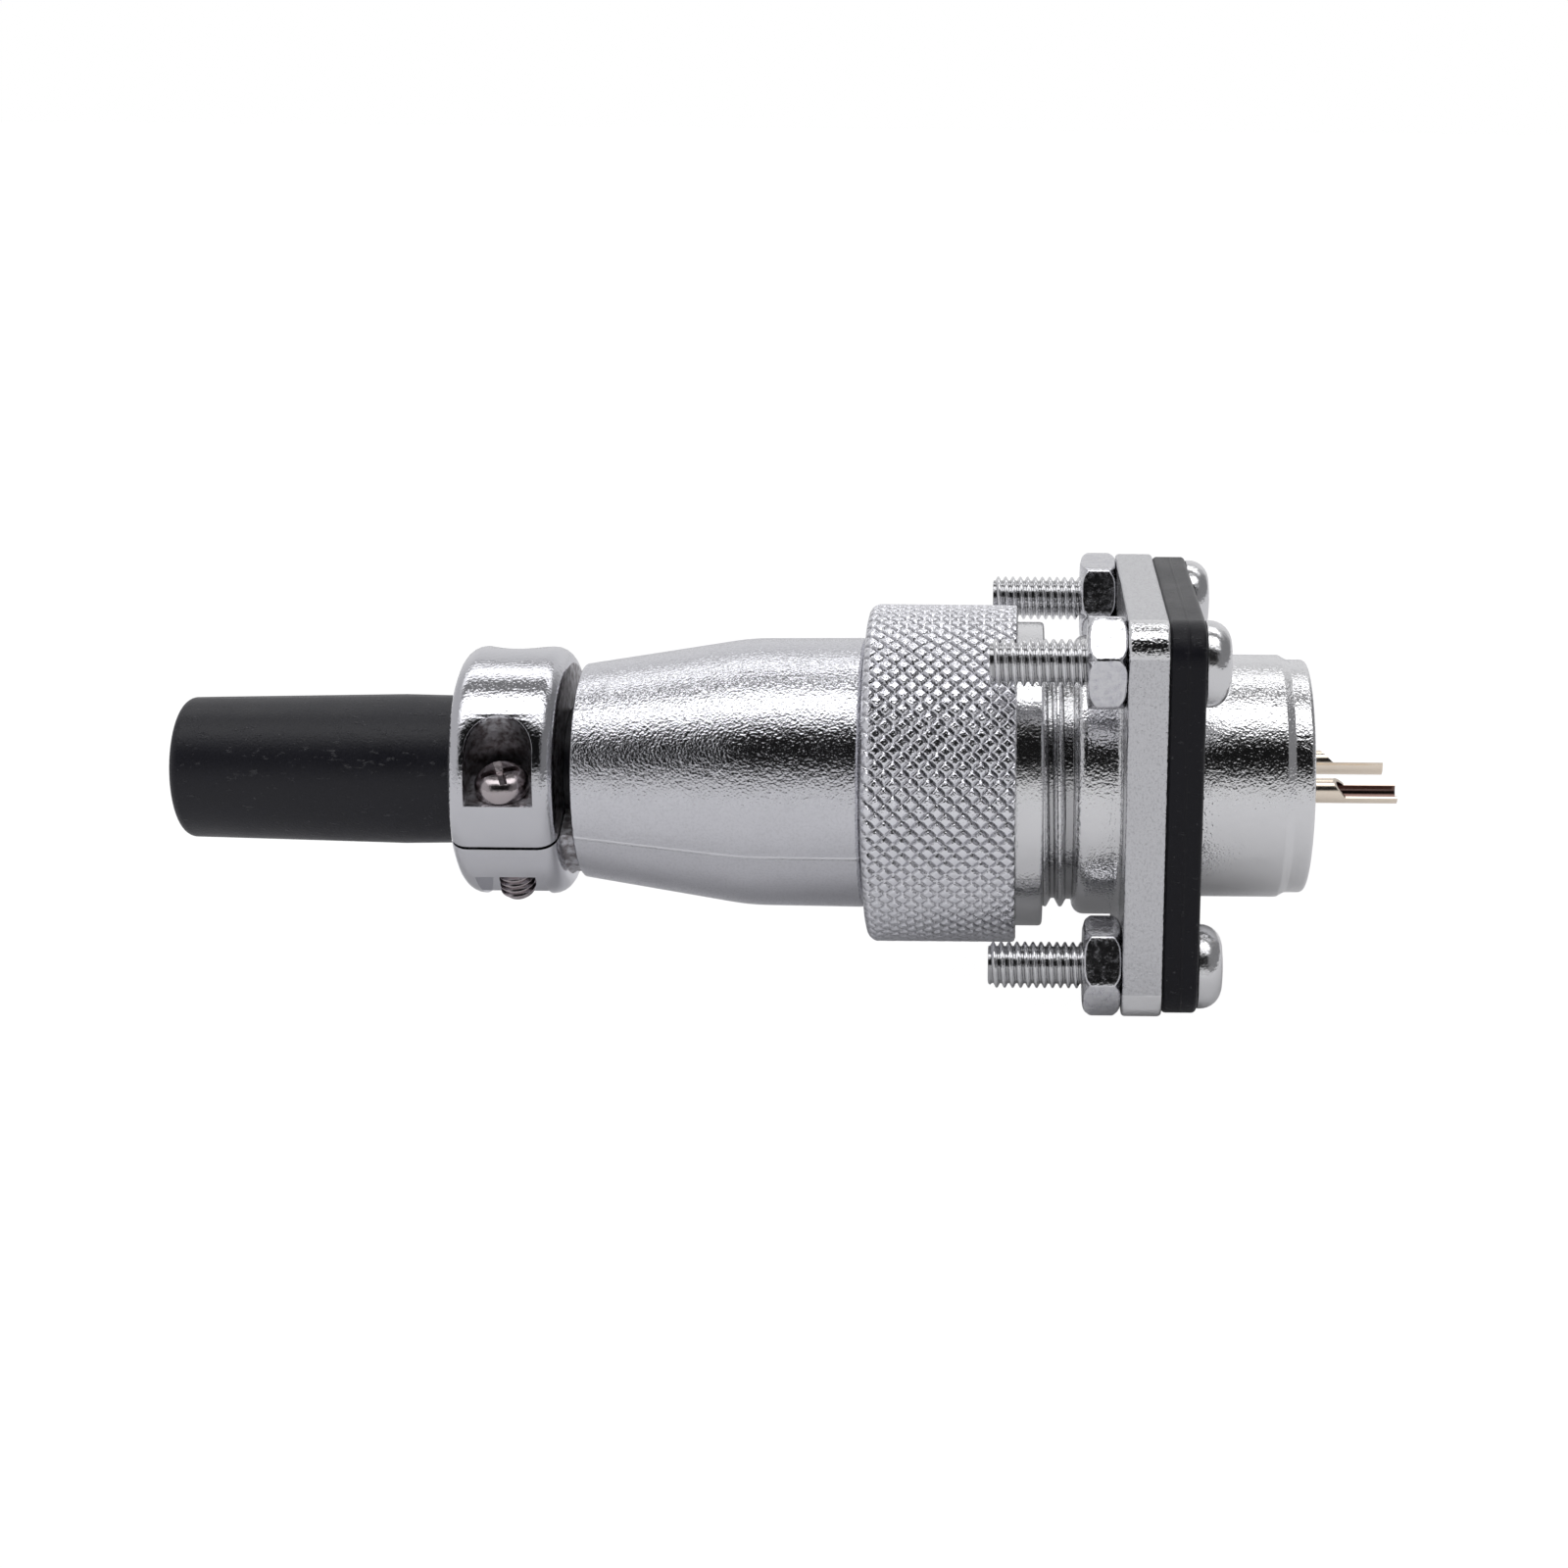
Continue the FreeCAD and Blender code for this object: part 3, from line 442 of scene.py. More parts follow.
class Paint(Nodes):
    """A material with a single shader, whose patterns lie on the object."""

    def __init__(self, name):
        self.material = bpy.data.materials.new(name)
        super().__init__(self.material)
        self.shader = self.node("BsdfPrincipled")
        self.node("OutputMaterial", {"Surface": self.shader.outputs["BSDF"]})
        self.place = self.node("TexCoord").outputs["Object"]

    def noise(self, size, detail=2.0, roughness=0.5, stretch=None):
        """Cloudy noise whose features are about this many millimetres across."""
        place = self.place
        if stretch:
            place = self.node("Mapping", {"Vector": place, "Scale": stretch}).outputs["Vector"]
        return self.node("TexNoise", {"Vector": place, "Scale": 1 / (size * MM), "Detail": detail,
                                      "Roughness": roughness}).outputs["Fac"]

    def ranged(self, value, low, high, start, end):
        """A value's range moved to another range, and held inside it."""
        return self.node("MapRange", {"Value": value, "From Min": low, "From Max": high,
                                      "To Min": start, "To Max": end}).outputs["Result"]

    def axis(self, name):
        """One coordinate of the surface, in metres."""
        return self.node("SeparateXYZ", {"Vector": self.place}).outputs[name]

    def between(self, name, low, high):
        """One where a coordinate lies between two values in millimetres, and nought elsewhere."""
        above = self.math("GREATER_THAN", self.axis(name), low * MM)
        below = self.math("LESS_THAN", self.axis(name), high * MM)
        return self.math("MULTIPLY", above, below)

    def radius(self, pitch=0.0):
        """Distance from the X axis, or from the nearest of four axes this far out both ways."""
        squares = []
        for name in ("Y", "Z"):
            away = self.math("ABSOLUTE", self.axis(name))
            squares.append(self.math("POWER", self.math("ABSOLUTE", self.math(
                "SUBTRACT", away, pitch * MM)), 2.0))
        return self.math("SQRT", self.math("ADD", *squares))

    def bump(self, height, depth, normal=None):
        """Raises the surface by a height of nought to one, times a depth in millimetres."""
        inputs = {"Height": height, "Distance": depth * MM, "Strength": 1.0}
        if normal:
            inputs["Normal"] = normal
        return self.node("Bump", inputs).outputs["Normal"]

    def set(self, **values):
        """Sets the shader's own inputs, by name, with spaces written as underscores."""
        for key, value in values.items():
            self.feed(self.shader.inputs[key.replace("_", " ")], value)


# Colours of the dirt and painted shade in the knurl's and threads' grooves, of painted brown shade
# and of dust
KNURL_DIRT_AND_SHADE = (0.05, 0.05, 0.055)
THREAD_DIRT_AND_SHADE = (0.06, 0.06, 0.065)
PAINTED_SHADE_BROWN = (0.10, 0.075, 0.075)
DUST = (0.22, 0.22, 0.23, 1.0)


class Plating:
    """What a finish may change of a plating: its two heights, normal, colour and roughness."""

    def __init__(self, paint, colour, roughness, mottle, grain):
        self.paint = paint
        self.soft = paint.noise(mottle[0], 2.0, 0.55)
        self.fine = paint.noise(grain[0], 1.0, 0.5)
        self.normal = None
        cloud = paint.noise(2.5, 3.0, 0.6)
        darker = tuple(channel * 0.92 for channel in colour)
        self.colour = paint.blend(cloud, (*darker, 1.0), (*colour, 1.0))
        self.roughness = paint.ranged(cloud, 0.3, 0.7, roughness * 0.8, roughness * 1.25)

    def calm(self, share):
        """Lowers both heights."""
        self.soft = self.paint.math("MULTIPLY", self.soft, share)
        self.fine = self.paint.math("MULTIPLY", self.fine, share)

    def cover(self, share, colour):
        """Covers a share of the plating with another colour."""
        self.colour = self.paint.blend(share, self.colour, (*colour, 1.0))

    def paint_shade(self, where, most, least):
        """Roughens the plating and clouds it with painted brown shade."""
        share = self.paint.ranged(self.paint.noise(0.6, 3.0, 0.6), 0.4, 0.6, most, least)
        # Painted brown shade
        self.cover(self.paint.math("MULTIPLY", where, share), PAINTED_SHADE_BROWN)
        self.roughness = self.paint.math("ADD", self.roughness,
                                         self.paint.math("MULTIPLY", where, 0.25))


def plated(name, colour, roughness, mottle, grain, finish=None):
    """Bright plating over a casting. mottle and grain are (size, depth) pairs in millimetres."""
    paint = Paint(name)
    plating = Plating(paint, colour, roughness, mottle, grain)
    if finish:
        finish(paint, plating)
    normal = paint.bump(plating.soft, mottle[1], plating.normal)
    paint.set(
        Base_Color=plating.colour,
        Metallic=1.0,
        Roughness=plating.roughness,
        Normal=paint.bump(plating.fine, grain[1], normal),
    )
    return paint.material


def backshell_finish(paint, plating):
    """The clamp half is smoother than the backshell, a mould seam with a painted highlight runs along
    both sides, and the slot has painted brown shade.
    """
    cast = paint.ranged(paint.axis("X"), (BACKSHELL_END - 0.3) * MM,
                        (BACKSHELL_END + 0.3) * MM, 0.15, 1.0)
    plating.calm(cast)
    specks = paint.ranged(paint.noise(0.16, 3.0, 0.7), 0.45, 0.70, 0.0, 0.22)
    plating.cover(paint.math("MULTIPLY", cast, specks), (0.30, 0.30, 0.32))
    across = paint.math("MULTIPLY", paint.axis("Y"), math.sin(CLAMP_TILT))
    up = paint.math("MULTIPLY", paint.axis("Z"), math.cos(CLAMP_TILT))
    height = paint.math("SUBTRACT", up, across)
    away = paint.math("ABSOLUTE", paint.math("SUBTRACT", height, CLAMP_PARTING * MM))
    seam = paint.ranged(away, 0.03 * MM, 0.14 * MM, 1.0, 0.0)
    plating.normal = paint.bump(seam, 0.03)
    # Painted highlight: a near-white line along the mould seam
    plating.cover(paint.math("MULTIPLY", seam, 0.5), (0.95, 0.95, 0.97))
    slot = paint.between("X", CLAMP_FRONT + 0.02, BACKSHELL_END + 0.02)
    # Painted brown shade in the slot between the backshell and the clamp
    plating.paint_shade(slot, 0.75, 0.1)


def knurl_finish(paint, plating):
    """The knurl is dull, its grooves painted dark with dirt and painted shade, and less dark where
    they cross.
    """
    angle = paint.math("ARCTAN2", paint.axis("Z"), paint.axis("Y"))
    turn = paint.math("MULTIPLY", angle, KNURL_STARTS / (2 * math.pi))
    lead = paint.math("DIVIDE", paint.axis("X"), KNURL_PITCH * MM)
    grooves = []
    for way, _ in KNURL_DEPTHS:
        away = paint.math("PINGPONG", paint.math("ADD", turn, paint.math("MULTIPLY", lead, way)), 0.5)
        grooves.append(paint.ranged(away, 0.05, KNURL_GROOVE * 0.44, 0.55, 0.0))
    # Dirt and painted shade in the knurl's grooves, less where the grooves cross
    dirt_and_shade = paint.math("SUBTRACT", grooves[0], grooves[1], clamped=True)
    other = paint.math("SUBTRACT", grooves[1], grooves[0], clamped=True)
    dirt_and_shade = paint.math("ADD", dirt_and_shade, paint.math("MULTIPLY", other, 0.6))
    knurled = paint.math("LESS_THAN", paint.axis("X"), (RING_FRONT - 0.1) * MM)
    plating.cover(knurled, (0.87, 0.87, 0.91))
    # Paints the grooves dark with dirt and painted shade
    plating.cover(paint.math("MULTIPLY", dirt_and_shade, knurled), KNURL_DIRT_AND_SHADE)
    plating.fine = paint.math("MULTIPLY", plating.fine, paint.math("ADD", knurled, 1.0))
    plating.roughness = paint.math("ADD", plating.roughness,
                                   paint.math("MULTIPLY", knurled, 0.02))


def receptacle_finish(paint, plating):
    """The flange's sides are dull and speckled, and the thread's grooves are painted dark with dirt
    and painted shade.
    """
    flange = paint.between("X", FLANGE_FRONT - 0.02, GASKET_FRONT + 0.02)
    start = FLANGE_SIDE / 2 - FLANGE_CORNER
    corner = 1.0
    for name in ("Y", "Z"):
        away = paint.math("ABSOLUTE", paint.axis(name))
        corner = paint.math("MULTIPLY", corner, paint.math("GREATER_THAN", away, start * MM))
    side = paint.math("SUBTRACT", flange, corner, clamped=True)
    plating.roughness = paint.math("ADD", plating.roughness,
                                   paint.math("MULTIPLY", side, 0.12))
    specks = paint.ranged(paint.noise(0.13, 3.0, 0.7, stretch=(1.0, 0.6, 0.6)),
                          0.5, 0.68, 0.0, 0.3)
    plating.cover(paint.math("MULTIPLY", side, 0.22), (0.14, 0.14, 0.19))
    plating.cover(paint.math("MULTIPLY", side, specks), (0.14, 0.14, 0.145))
    threaded = paint.math("LESS_THAN", paint.axis("X"), COLLAR_FRONT * MM)
    # Dirt and painted shade in the barrel thread's grooves
    groove = paint.ranged(paint.radius(), RELIEF_RADIUS * MM, 8.40 * MM, 0.4, 0.0)
    plating.cover(paint.math("MULTIPLY", groove, threaded), THREAD_DIRT_AND_SHADE)


def screw_finish(paint, plating):
    """The grooves of the flange screws' threads are painted dark with dirt and painted shade."""
    # Dirt and painted shade in the screw threads' grooves
    groove = paint.ranged(paint.radius(HALF_PITCH), SCREW_ROOT * MM, 1.25 * MM, 0.45, 0.0)
    threaded = paint.math("LESS_THAN", paint.axis("X"), FLANGE_FRONT * MM)
    plating.cover(paint.math("MULTIPLY", groove, threaded), THREAD_DIRT_AND_SHADE)


def nut_finish(paint, plating):
    """The nuts are dull in patches."""
    patch = paint.ranged(paint.noise(0.4, 3.0, 0.7), 0.45, 0.68, 0.0, 1.0)
    plating.roughness = paint.math("ADD", plating.roughness, paint.math("MULTIPLY", patch, 0.2))
    plating.cover(paint.math("MULTIPLY", patch, 0.5), (0.50, 0.50, 0.56))


def saddle_finish(paint, plating):
    """The saddle is rough in its pockets and on the side towards the backshell, and painted with
    brown shade there.
    """
    beside = paint.between("X", CLAMP_MIDDLE - CLAMP_POCKET - 0.05,
                           CLAMP_MIDDLE + CLAMP_POCKET + 0.05)
    below = paint.math("LESS_THAN", paint.radius(), (CLAMP_RADIUS - 0.2) * MM)
    front = paint.math("GREATER_THAN", paint.axis("X"), (CLAMP_FRONT - 0.02) * MM)
    # Painted brown shade in the pockets and on the side towards the backshell
    plating.paint_shade(paint.math("MAXIMUM", paint.math("MULTIPLY", beside, below), front), 0.85, 0.2)


def rubber(name, colour, roughness, shine, sheen, specks, seam=None):
    """Moulded rubber with a fine grain and light dust, and a mould line at a station if given."""
    paint = Paint(name)
    fine = paint.noise(0.15, 3.0, 0.6)
    cloud = paint.noise(3.0, 3.0, 0.6)
    dust = paint.noise(0.3, 1.0, 0.5)
    marks = paint.noise(0.4, 3.0, 0.7, stretch=(0.4, 1.0, 1.0))
    lighter = tuple(channel * 1.9 for channel in colour)
    base = paint.blend(cloud, (*colour, 1.0), (*lighter, 1.0))
    dusty = paint.ranged(dust, specks, specks + 0.06, 0.0, 0.20)
    base = paint.blend(dusty, base, DUST)
    scuffed = paint.ranged(marks, 0.62, 0.70, 0.0, 1.0)
    base = paint.blend(paint.math("MULTIPLY", scuffed, 0.12), base, DUST)
    normal = paint.bump(scuffed, 0.03, paint.bump(fine, 0.02))
    if seam is not None:
        away = paint.math("ABSOLUTE", paint.math("SUBTRACT", paint.axis("X"), seam * MM))
        ridge = paint.ranged(away, 0.02 * MM, 0.12 * MM, 1.0, 0.0)
        normal = paint.bump(ridge, 0.06, normal)
    paint.set(
        Base_Color=base,
        Roughness=paint.ranged(cloud, 0.3, 0.7, roughness * 0.9, roughness * 1.1),
        Specular_IOR_Level=shine,
        Sheen_Weight=sheen,
        Sheen_Roughness=0.4,
        Normal=normal,
    )
    return paint.material


def gold(name, side):
    """Thin gold over a turned contact at one side, tarnished brown inside its solder cup."""
    paint = Paint(name)
    marks = paint.noise(0.12, 2.0, 0.5, stretch=(1.0, 0.15, 0.15))
    cloud = paint.noise(1.2, 2.0, 0.5)
    across = paint.math("SUBTRACT", paint.axis("Y"), side * CONTACT_OFFSET * MM)
    radius = paint.math("SQRT", paint.math("ADD", paint.math("POWER", across, 2.0),
                                           paint.math("POWER", paint.axis("Z"), 2.0)))
    inside = paint.ranged(radius, 0.57 * MM, 0.62 * MM, 0.92, 0.0)
    bright = paint.blend(cloud, (0.93, 0.80, 0.66, 1.0), (0.98, 0.88, 0.75, 1.0))
    paint.set(
        Base_Color=paint.blend(inside, bright, (0.11, 0.05, 0.045, 1.0)),
        Metallic=1.0,
        Roughness=paint.ranged(cloud, 0.3, 0.7, 0.14, 0.24),
        Normal=paint.bump(marks, 0.004),
    )
    return paint.material


def insulator():
    """Moulded black insulating plastic with a faint flow pattern."""
    paint = Paint("insulator_plastic")
    flow = paint.noise(1.5, 3.0, 0.6, stretch=(0.3, 1.0, 1.0))
    fine = paint.noise(0.15, 2.0, 0.5)
    paint.set(
        Base_Color=paint.blend(flow, (0.018, 0.018, 0.02, 1.0), (0.035, 0.034, 0.034, 1.0)),
        Roughness=paint.ranged(flow, 0.3, 0.7, 0.35, 0.5),
        Normal=paint.bump(fine, 0.008),
    )
    return paint.material


# The ring's knurl: starts both ways round, steps modelled in each, radius over the flats,
# share of the pitch that a groove takes, and the depth of each way's grooves
KNURL_STARTS = 64
KNURL_STEPS = 12
KNURL_TOP = 10.98
KNURL_GROOVE = 0.44
KNURL_DEPTHS = ((-1, 0.22), (1, 0.16))
KNURL_PITCH = 2 * math.pi * KNURL_TOP / KNURL_STARTS
# The grooves fade in over this length at the rear edge
KNURL_FADE = 0.4

PLATE = (0.83, 0.83, 0.84)
BLUE_PLATE = (0.75, 0.75, 0.785)
DARK_PLATE = (0.67, 0.67, 0.70)
STEEL = (0.80, 0.80, 0.81)
NUT_COLOUR = (0.78, 0.78, 0.80)
PINK_STEEL = (0.50, 0.45, 0.46)
SPRING_COLOUR = (0.36, 0.36, 0.37)
CAST_FINE = plated("plated_backshell", BLUE_PLATE, 0.12, mottle=(0.6, 0.025), grain=(0.165, 0.040),
                   finish=backshell_finish)
CAST_COARSE = plated("plated_receptacle", PLATE, 0.10, mottle=(0.5, 0.03), grain=(0.16, 0.034),
                     finish=receptacle_finish)
CAST_PLUG = plated("plated_plug", PLATE, 0.10, mottle=(0.5, 0.02), grain=(0.16, 0.025))
RING_PLATE = plated("plated_ring", PLATE, 0.12, mottle=(0.5, 0.02), grain=(0.16, 0.024),
                    finish=knurl_finish)
CLAMP_PLATE = plated("plated_clamp", DARK_PLATE, 0.08, mottle=(0.8, 0.020), grain=(0.17, 0.018),
                     finish=saddle_finish)
FASTENER = plated("fastener_steel", STEEL, 0.17, mottle=(0.5, 0.035), grain=(0.18, 0.008),
                  finish=screw_finish)
NUT_STEEL = plated("nut_steel", NUT_COLOUR, 0.12, mottle=(0.5, 0.035), grain=(0.18, 0.012),
                   finish=nut_finish)
CLAMP_SCREW = plated("clamp_screw_steel", PINK_STEEL, 0.16, mottle=(0.5, 0.02), grain=(0.15, 0.006))
SPRING = plated("spring_steel", SPRING_COLOUR, 0.3, mottle=(0.5, 0.01), grain=(0.1, 0.004))
GASKET_RUBBER = rubber("gasket_rubber", (0.003, 0.003, 0.0055), 0.40, shine=0.24, sheen=0.25,
                       specks=0.72, seam=GASKET_FRONT / 2)
SEAL_RUBBER = rubber("seal_rubber", (0.010, 0.010, 0.011), 0.5, shine=0.45, sheen=0.0, specks=0.8)
SLEEVE_RUBBER = rubber("sleeve_rubber", (0.004, 0.004, 0.0075), 0.40, shine=0.40, sheen=0.0,
                       specks=0.74)
GOLD_FRONT = gold("contact_gold_front", -1)
GOLD_BACK = gold("contact_gold_back", 1)
PLASTIC = insulator()


# Pieces

def square_outline(half, corner, steps=6):
    """Points round a square with rounded corners, as (across, up), about X by the right hand."""
    points = []
    for turn in range(4):
        for step in range(steps + 1):
            angle = math.pi / 2 * (turn + step / steps)
            quarter = math.pi / 4 + math.pi / 2 * turn
            reach = (half - corner) * math.sqrt(2)
            points.append((reach * math.cos(quarter) + corner * math.cos(angle),
                           reach * math.sin(quarter) + corner * math.sin(angle)))
    return points


def flange_plate():
    """The square flange with its rounded outline, central opening and four holes."""
    half = FLANGE_SIDE / 2
    inward = 3.0
    rows = []
    edges = rounded([(FLANGE_FRONT, inward, 0), (FLANGE_FRONT, 0.0, FLANGE_EDGE),
                     (GASKET_FRONT, 0.0, FLANGE_EDGE), (GASKET_FRONT, inward, 0)], 4)
    for along, inset in edges[1:-1]:
        outline = square_outline(half - inset, FLANGE_CORNER - inset)
        rows.append([(along, across, up) for across, up in outline])
    start, end = FLANGE_FRONT - 1, GASKET_FRONT + 1
    opening = 7.6
    cutters = [lathe([(start, 0), (start, opening), (end, opening), (end, 0)], 96, closed=False)]
    hole = lathe([(start, 0), (start, HOLE_RADIUS), (end, HOLE_RADIUS), (end, 0)], 48, closed=False)
    for across in (-HALF_PITCH, HALF_PITCH):
        for up in (-HALF_PITCH, HALF_PITCH):
            cutters.append(Shape().add(hole, Matrix.Translation((0, across, up))))
    return cut(capped(rows), cutters)


def make_receptacle_shell():
    """Flange, collar, threaded barrel with its real thread, stepped rear body and socket."""
    inside_plate = (FLANGE_FRONT + GASKET_FRONT) / 2
    groove_end = INSERT_REAR + SNAP_GROOVE_WIDTH
    body = lathe(rounded([
        (RIM, SOCKET_RADIUS, 0.2),
        (RIM, THREAD_CORE + 0.06, 0.03),
        (RIM + 0.1, THREAD_CORE, 0),
        (RELIEF_FRONT, THREAD_CORE, 0),
        (RELIEF_FRONT, RELIEF_RADIUS, 0),
        (COLLAR_FRONT, RELIEF_RADIUS, 0.12),
        (COLLAR_FRONT, COLLAR_RADIUS, COLLAR_ROUND),
        (FLANGE_FRONT - 0.01, COLLAR_RADIUS, COLLAR_FILLET),
        (FLANGE_FRONT - 0.01, INSIDE_FLANGE, 0),
        (inside_plate, INSIDE_FLANGE, 0),
        (inside_plate, REAR_RADIUS, 0),
        (REAR_STEP_START, REAR_RADIUS, 0.2),
        (REAR_STEP_END, REAR_STEP_RADIUS, 0.2),
        (REAR_END, REAR_STEP_RADIUS, REAR_EDGE),
        (REAR_END, INSERT_BORE, 0.12),
        (groove_end, INSERT_BORE, 0),
        (groove_end, SNAP_GROOVE_RADIUS, 0),
        (INSERT_REAR, SNAP_GROOVE_RADIUS, 0),
        (INSERT_REAR, INSERT_BORE, 0),
        (INSERT_FRONT, INSERT_BORE, 0),
        (INSERT_FRONT, INSERT_STOP_RADIUS, 0),
        (SOCKET_FLOOR, INSERT_STOP_RADIUS, 0),
        (SOCKET_FLOOR, SOCKET_RADIUS, 0.1),
    ]))
    barrel_thread = thread(RIM + 0.02, RELIEF_FRONT + 0.3, THREAD_ROOT, BARREL_RADIUS,
                           BARREL_PITCH, 160, lambda along: RELIEF_RADIUS + (along - RIM))
    turned = Shape().add(barrel_thread, Matrix.Rotation(math.radians(THREAD_TURN), 4, "X"))
    add_piece("receptacle_shell_detail", join(body, [flange_plate(), turned]),
              CAST_COARSE, "receptacle_shell")


def knurl_cut(turn, along):
    """How deep the knurl is cut at a share of a turn and a station."""
    deepest = 0.0
    for way, depth in KNURL_DEPTHS:
        share = (turn * KNURL_STARTS + way * along / KNURL_PITCH) % 1.0
        away = 2 * min(share, 1 - share)
        deepest = max(deepest, depth * (1 - away / KNURL_GROOVE))
    return deepest


def ring_blank(along):
    """The ring's turned radius before knurling, with its rounded rear and front edges."""
    radius = RING_RADIUS
    for edge, past in ((RING_REAR_ROUND, RING_REAR + RING_REAR_ROUND - along),
                       (RING_FRONT_EDGE, along - (RING_FRONT - RING_FRONT_EDGE))):
        if past > 0:
            radius = RING_RADIUS - edge + math.sqrt(max(edge ** 2 - past ** 2, 0.0))
    return radius


def knurled_band(inside):
    """The grip band of the ring, with each diamond modelled, closed by the ring's other faces."""
    count = KNURL_STARTS * KNURL_STEPS
    rows = round((RING_FRONT - RING_REAR) / KNURL_PITCH * KNURL_STEPS)
    circle = around(count)
    shape = Shape()
    heights = []

    def radius_at(turn, along):
        fade = min((along - RING_REAR) / KNURL_FADE, 1.0)
        return min(ring_blank(along), KNURL_TOP) - knurl_cut(turn, along) * fade

    stations = [RING_REAR + (RING_FRONT - RING_REAR) * row / rows for row in range(rows + 1)]
    for along in stations:
        heights.append([radius_at(step / count, along) for step in range(count)])
    lined = list(zip(stations, heights))
    lined += [(along, [radius] * count) for along, radius in inside]
    for along, radii in lined:
        for radius, (cos, sin) in zip(radii, circle):
            shape.points.append(Vector((along, radius * cos, radius * sin)))
    for row in range(len(lined)):
        for step in range(count):
            following = (step + 1) % count
            there = (row + 1) % len(lined)
            corners = [row * count + step, row * count + following,
                       there * count + following, there * count + step]
            if row >= rows:
                shape.faces.append(corners)
                continue
            along = (stations[row] + stations[row + 1]) / 2
            middle = radius_at((step + 0.5) / count, along)
            one = heights[row][step] + heights[row + 1][following]
            other = heights[row][following] + heights[row + 1][step]
            first, second, third, fourth = corners
            if abs(one / 2 - middle) < abs(other / 2 - middle):
                shape.faces += [[first, second, third], [first, third, fourth]]
            else:
                shape.faces += [[first, second, fourth], [second, third, fourth]]
    return shape


def make_coupling_ring():
    """The coupling ring with its knurled band and smooth nose."""
    inside = rounded([
        (RING_FRONT, RING_NOSE_RADIUS, 0.1),
        (RING_MOUTH, RING_NOSE_RADIUS, RING_NOSE_EDGE),
        (RING_MOUTH, RING_BORE + RING_MOUTH_CHAMFER, 0),
        (RING_MOUTH - RING_MOUTH_CHAMFER, RING_BORE, 0),
        (RING_LIP_FRONT, RING_BORE, 0),
        (RING_LIP_FRONT, RING_LIP_RADIUS, 0),
        (RING_REAR, RING_LIP_RADIUS, 0.1),
    ], 3)
    add_piece("coupling_ring_detail", knurled_band(inside), RING_PLATE, "coupling_ring", sharp=50)


def cross_recess(top, depth, arm, width):
    """The tapered cross that is pressed into a screw's head, which looks along +X."""
    rows = []
    above, taper, flare = 0.2, 0.6, 1.08
    for along, share in ((top - depth, taper), (top + above, flare)):
        half, reach = width / 2 * share, arm * share
        outline = [(reach, -half), (reach, half), (half, half), (half, reach), (-half, reach),
                   (-half, half), (-reach, half), (-reach, -half), (-half, -half),
                   (-half, -reach), (half, -reach), (half, -half)]
        rows.append([(along, across, up) for across, up in outline])
    return capped(rows)


def screw(radius, root, length, pitch, head_radius, head_height, head_round, recess):
    """A screw along X with a real thread, its head's underside at 0 and its point at -length.

    recess is the depth of the cross, the reach of its arms and their width.
    """
    head = lathe(rounded([
        (0, 0, 0),
        (0, head_radius, 0.12),
        (head_height, head_radius, head_round),
        (head_height, 0, 0),
    ], 8), 72, closed=False)
    head = cut(head, [cross_recess(head_height, *recess)])
    core = root - 0.01
    point_radius, point_length, overlap = root - 0.12, 0.15, 0.1
    shank = lathe([(-length, 0), (-length, point_radius), (-length + point_length, core),
                   (overlap, core), (overlap, 0)], 48, closed=False)
    ridges = thread(-length + 0.02, 0.05, root, radius, pitch, 48,
                    lambda along: radius - 0.3 + (along + length))
    return join(head, [shank, ridges])


def make_flange_screws():
    """The four screws through the flange."""
    one = screw(SCREW_RADIUS, root=SCREW_ROOT, length=SCREW_LENGTH, pitch=0.5, head_radius=2.65,
                head_height=1.6, head_round=1.35, recess=(0.9, 1.45, 0.6))
    group = Shape()
    for (across, up), angle in zip(FASTENER_PLACES, SCREW_TURNS):
        group.add(one, Matrix.Translation((0, across, up))
                  @ Matrix.Rotation(math.radians(angle), 4, "X"))
    add_piece("flange_screws_detail", group, FASTENER, "flange_screws")


def hexagon_outline(flats, corner, along_face=10, along_corner=4):
    """Points round a hexagon with softened corners, one face looking along -Y, about X."""
    points = []
    half = flats / 2
    straight = (half - corner) * math.tan(math.pi / 6)
    for face in range(6):
        angle = math.pi + face * math.pi / 3
        for step in range(along_face + 1):
            offset = straight * (2 * step / along_face - 1)
            points.append((half * math.cos(angle) - offset * math.sin(angle),
                           half * math.sin(angle) + offset * math.cos(angle)))
        middle = angle + math.pi / 6
        reach = (half - corner) / math.cos(math.pi / 6)
        for step in range(1, along_corner):
            turn = angle + math.pi / 3 * step / along_corner
            points.append((reach * math.cos(middle) + corner * math.cos(turn),
                           reach * math.sin(middle) + corner * math.sin(turn)))
    return points


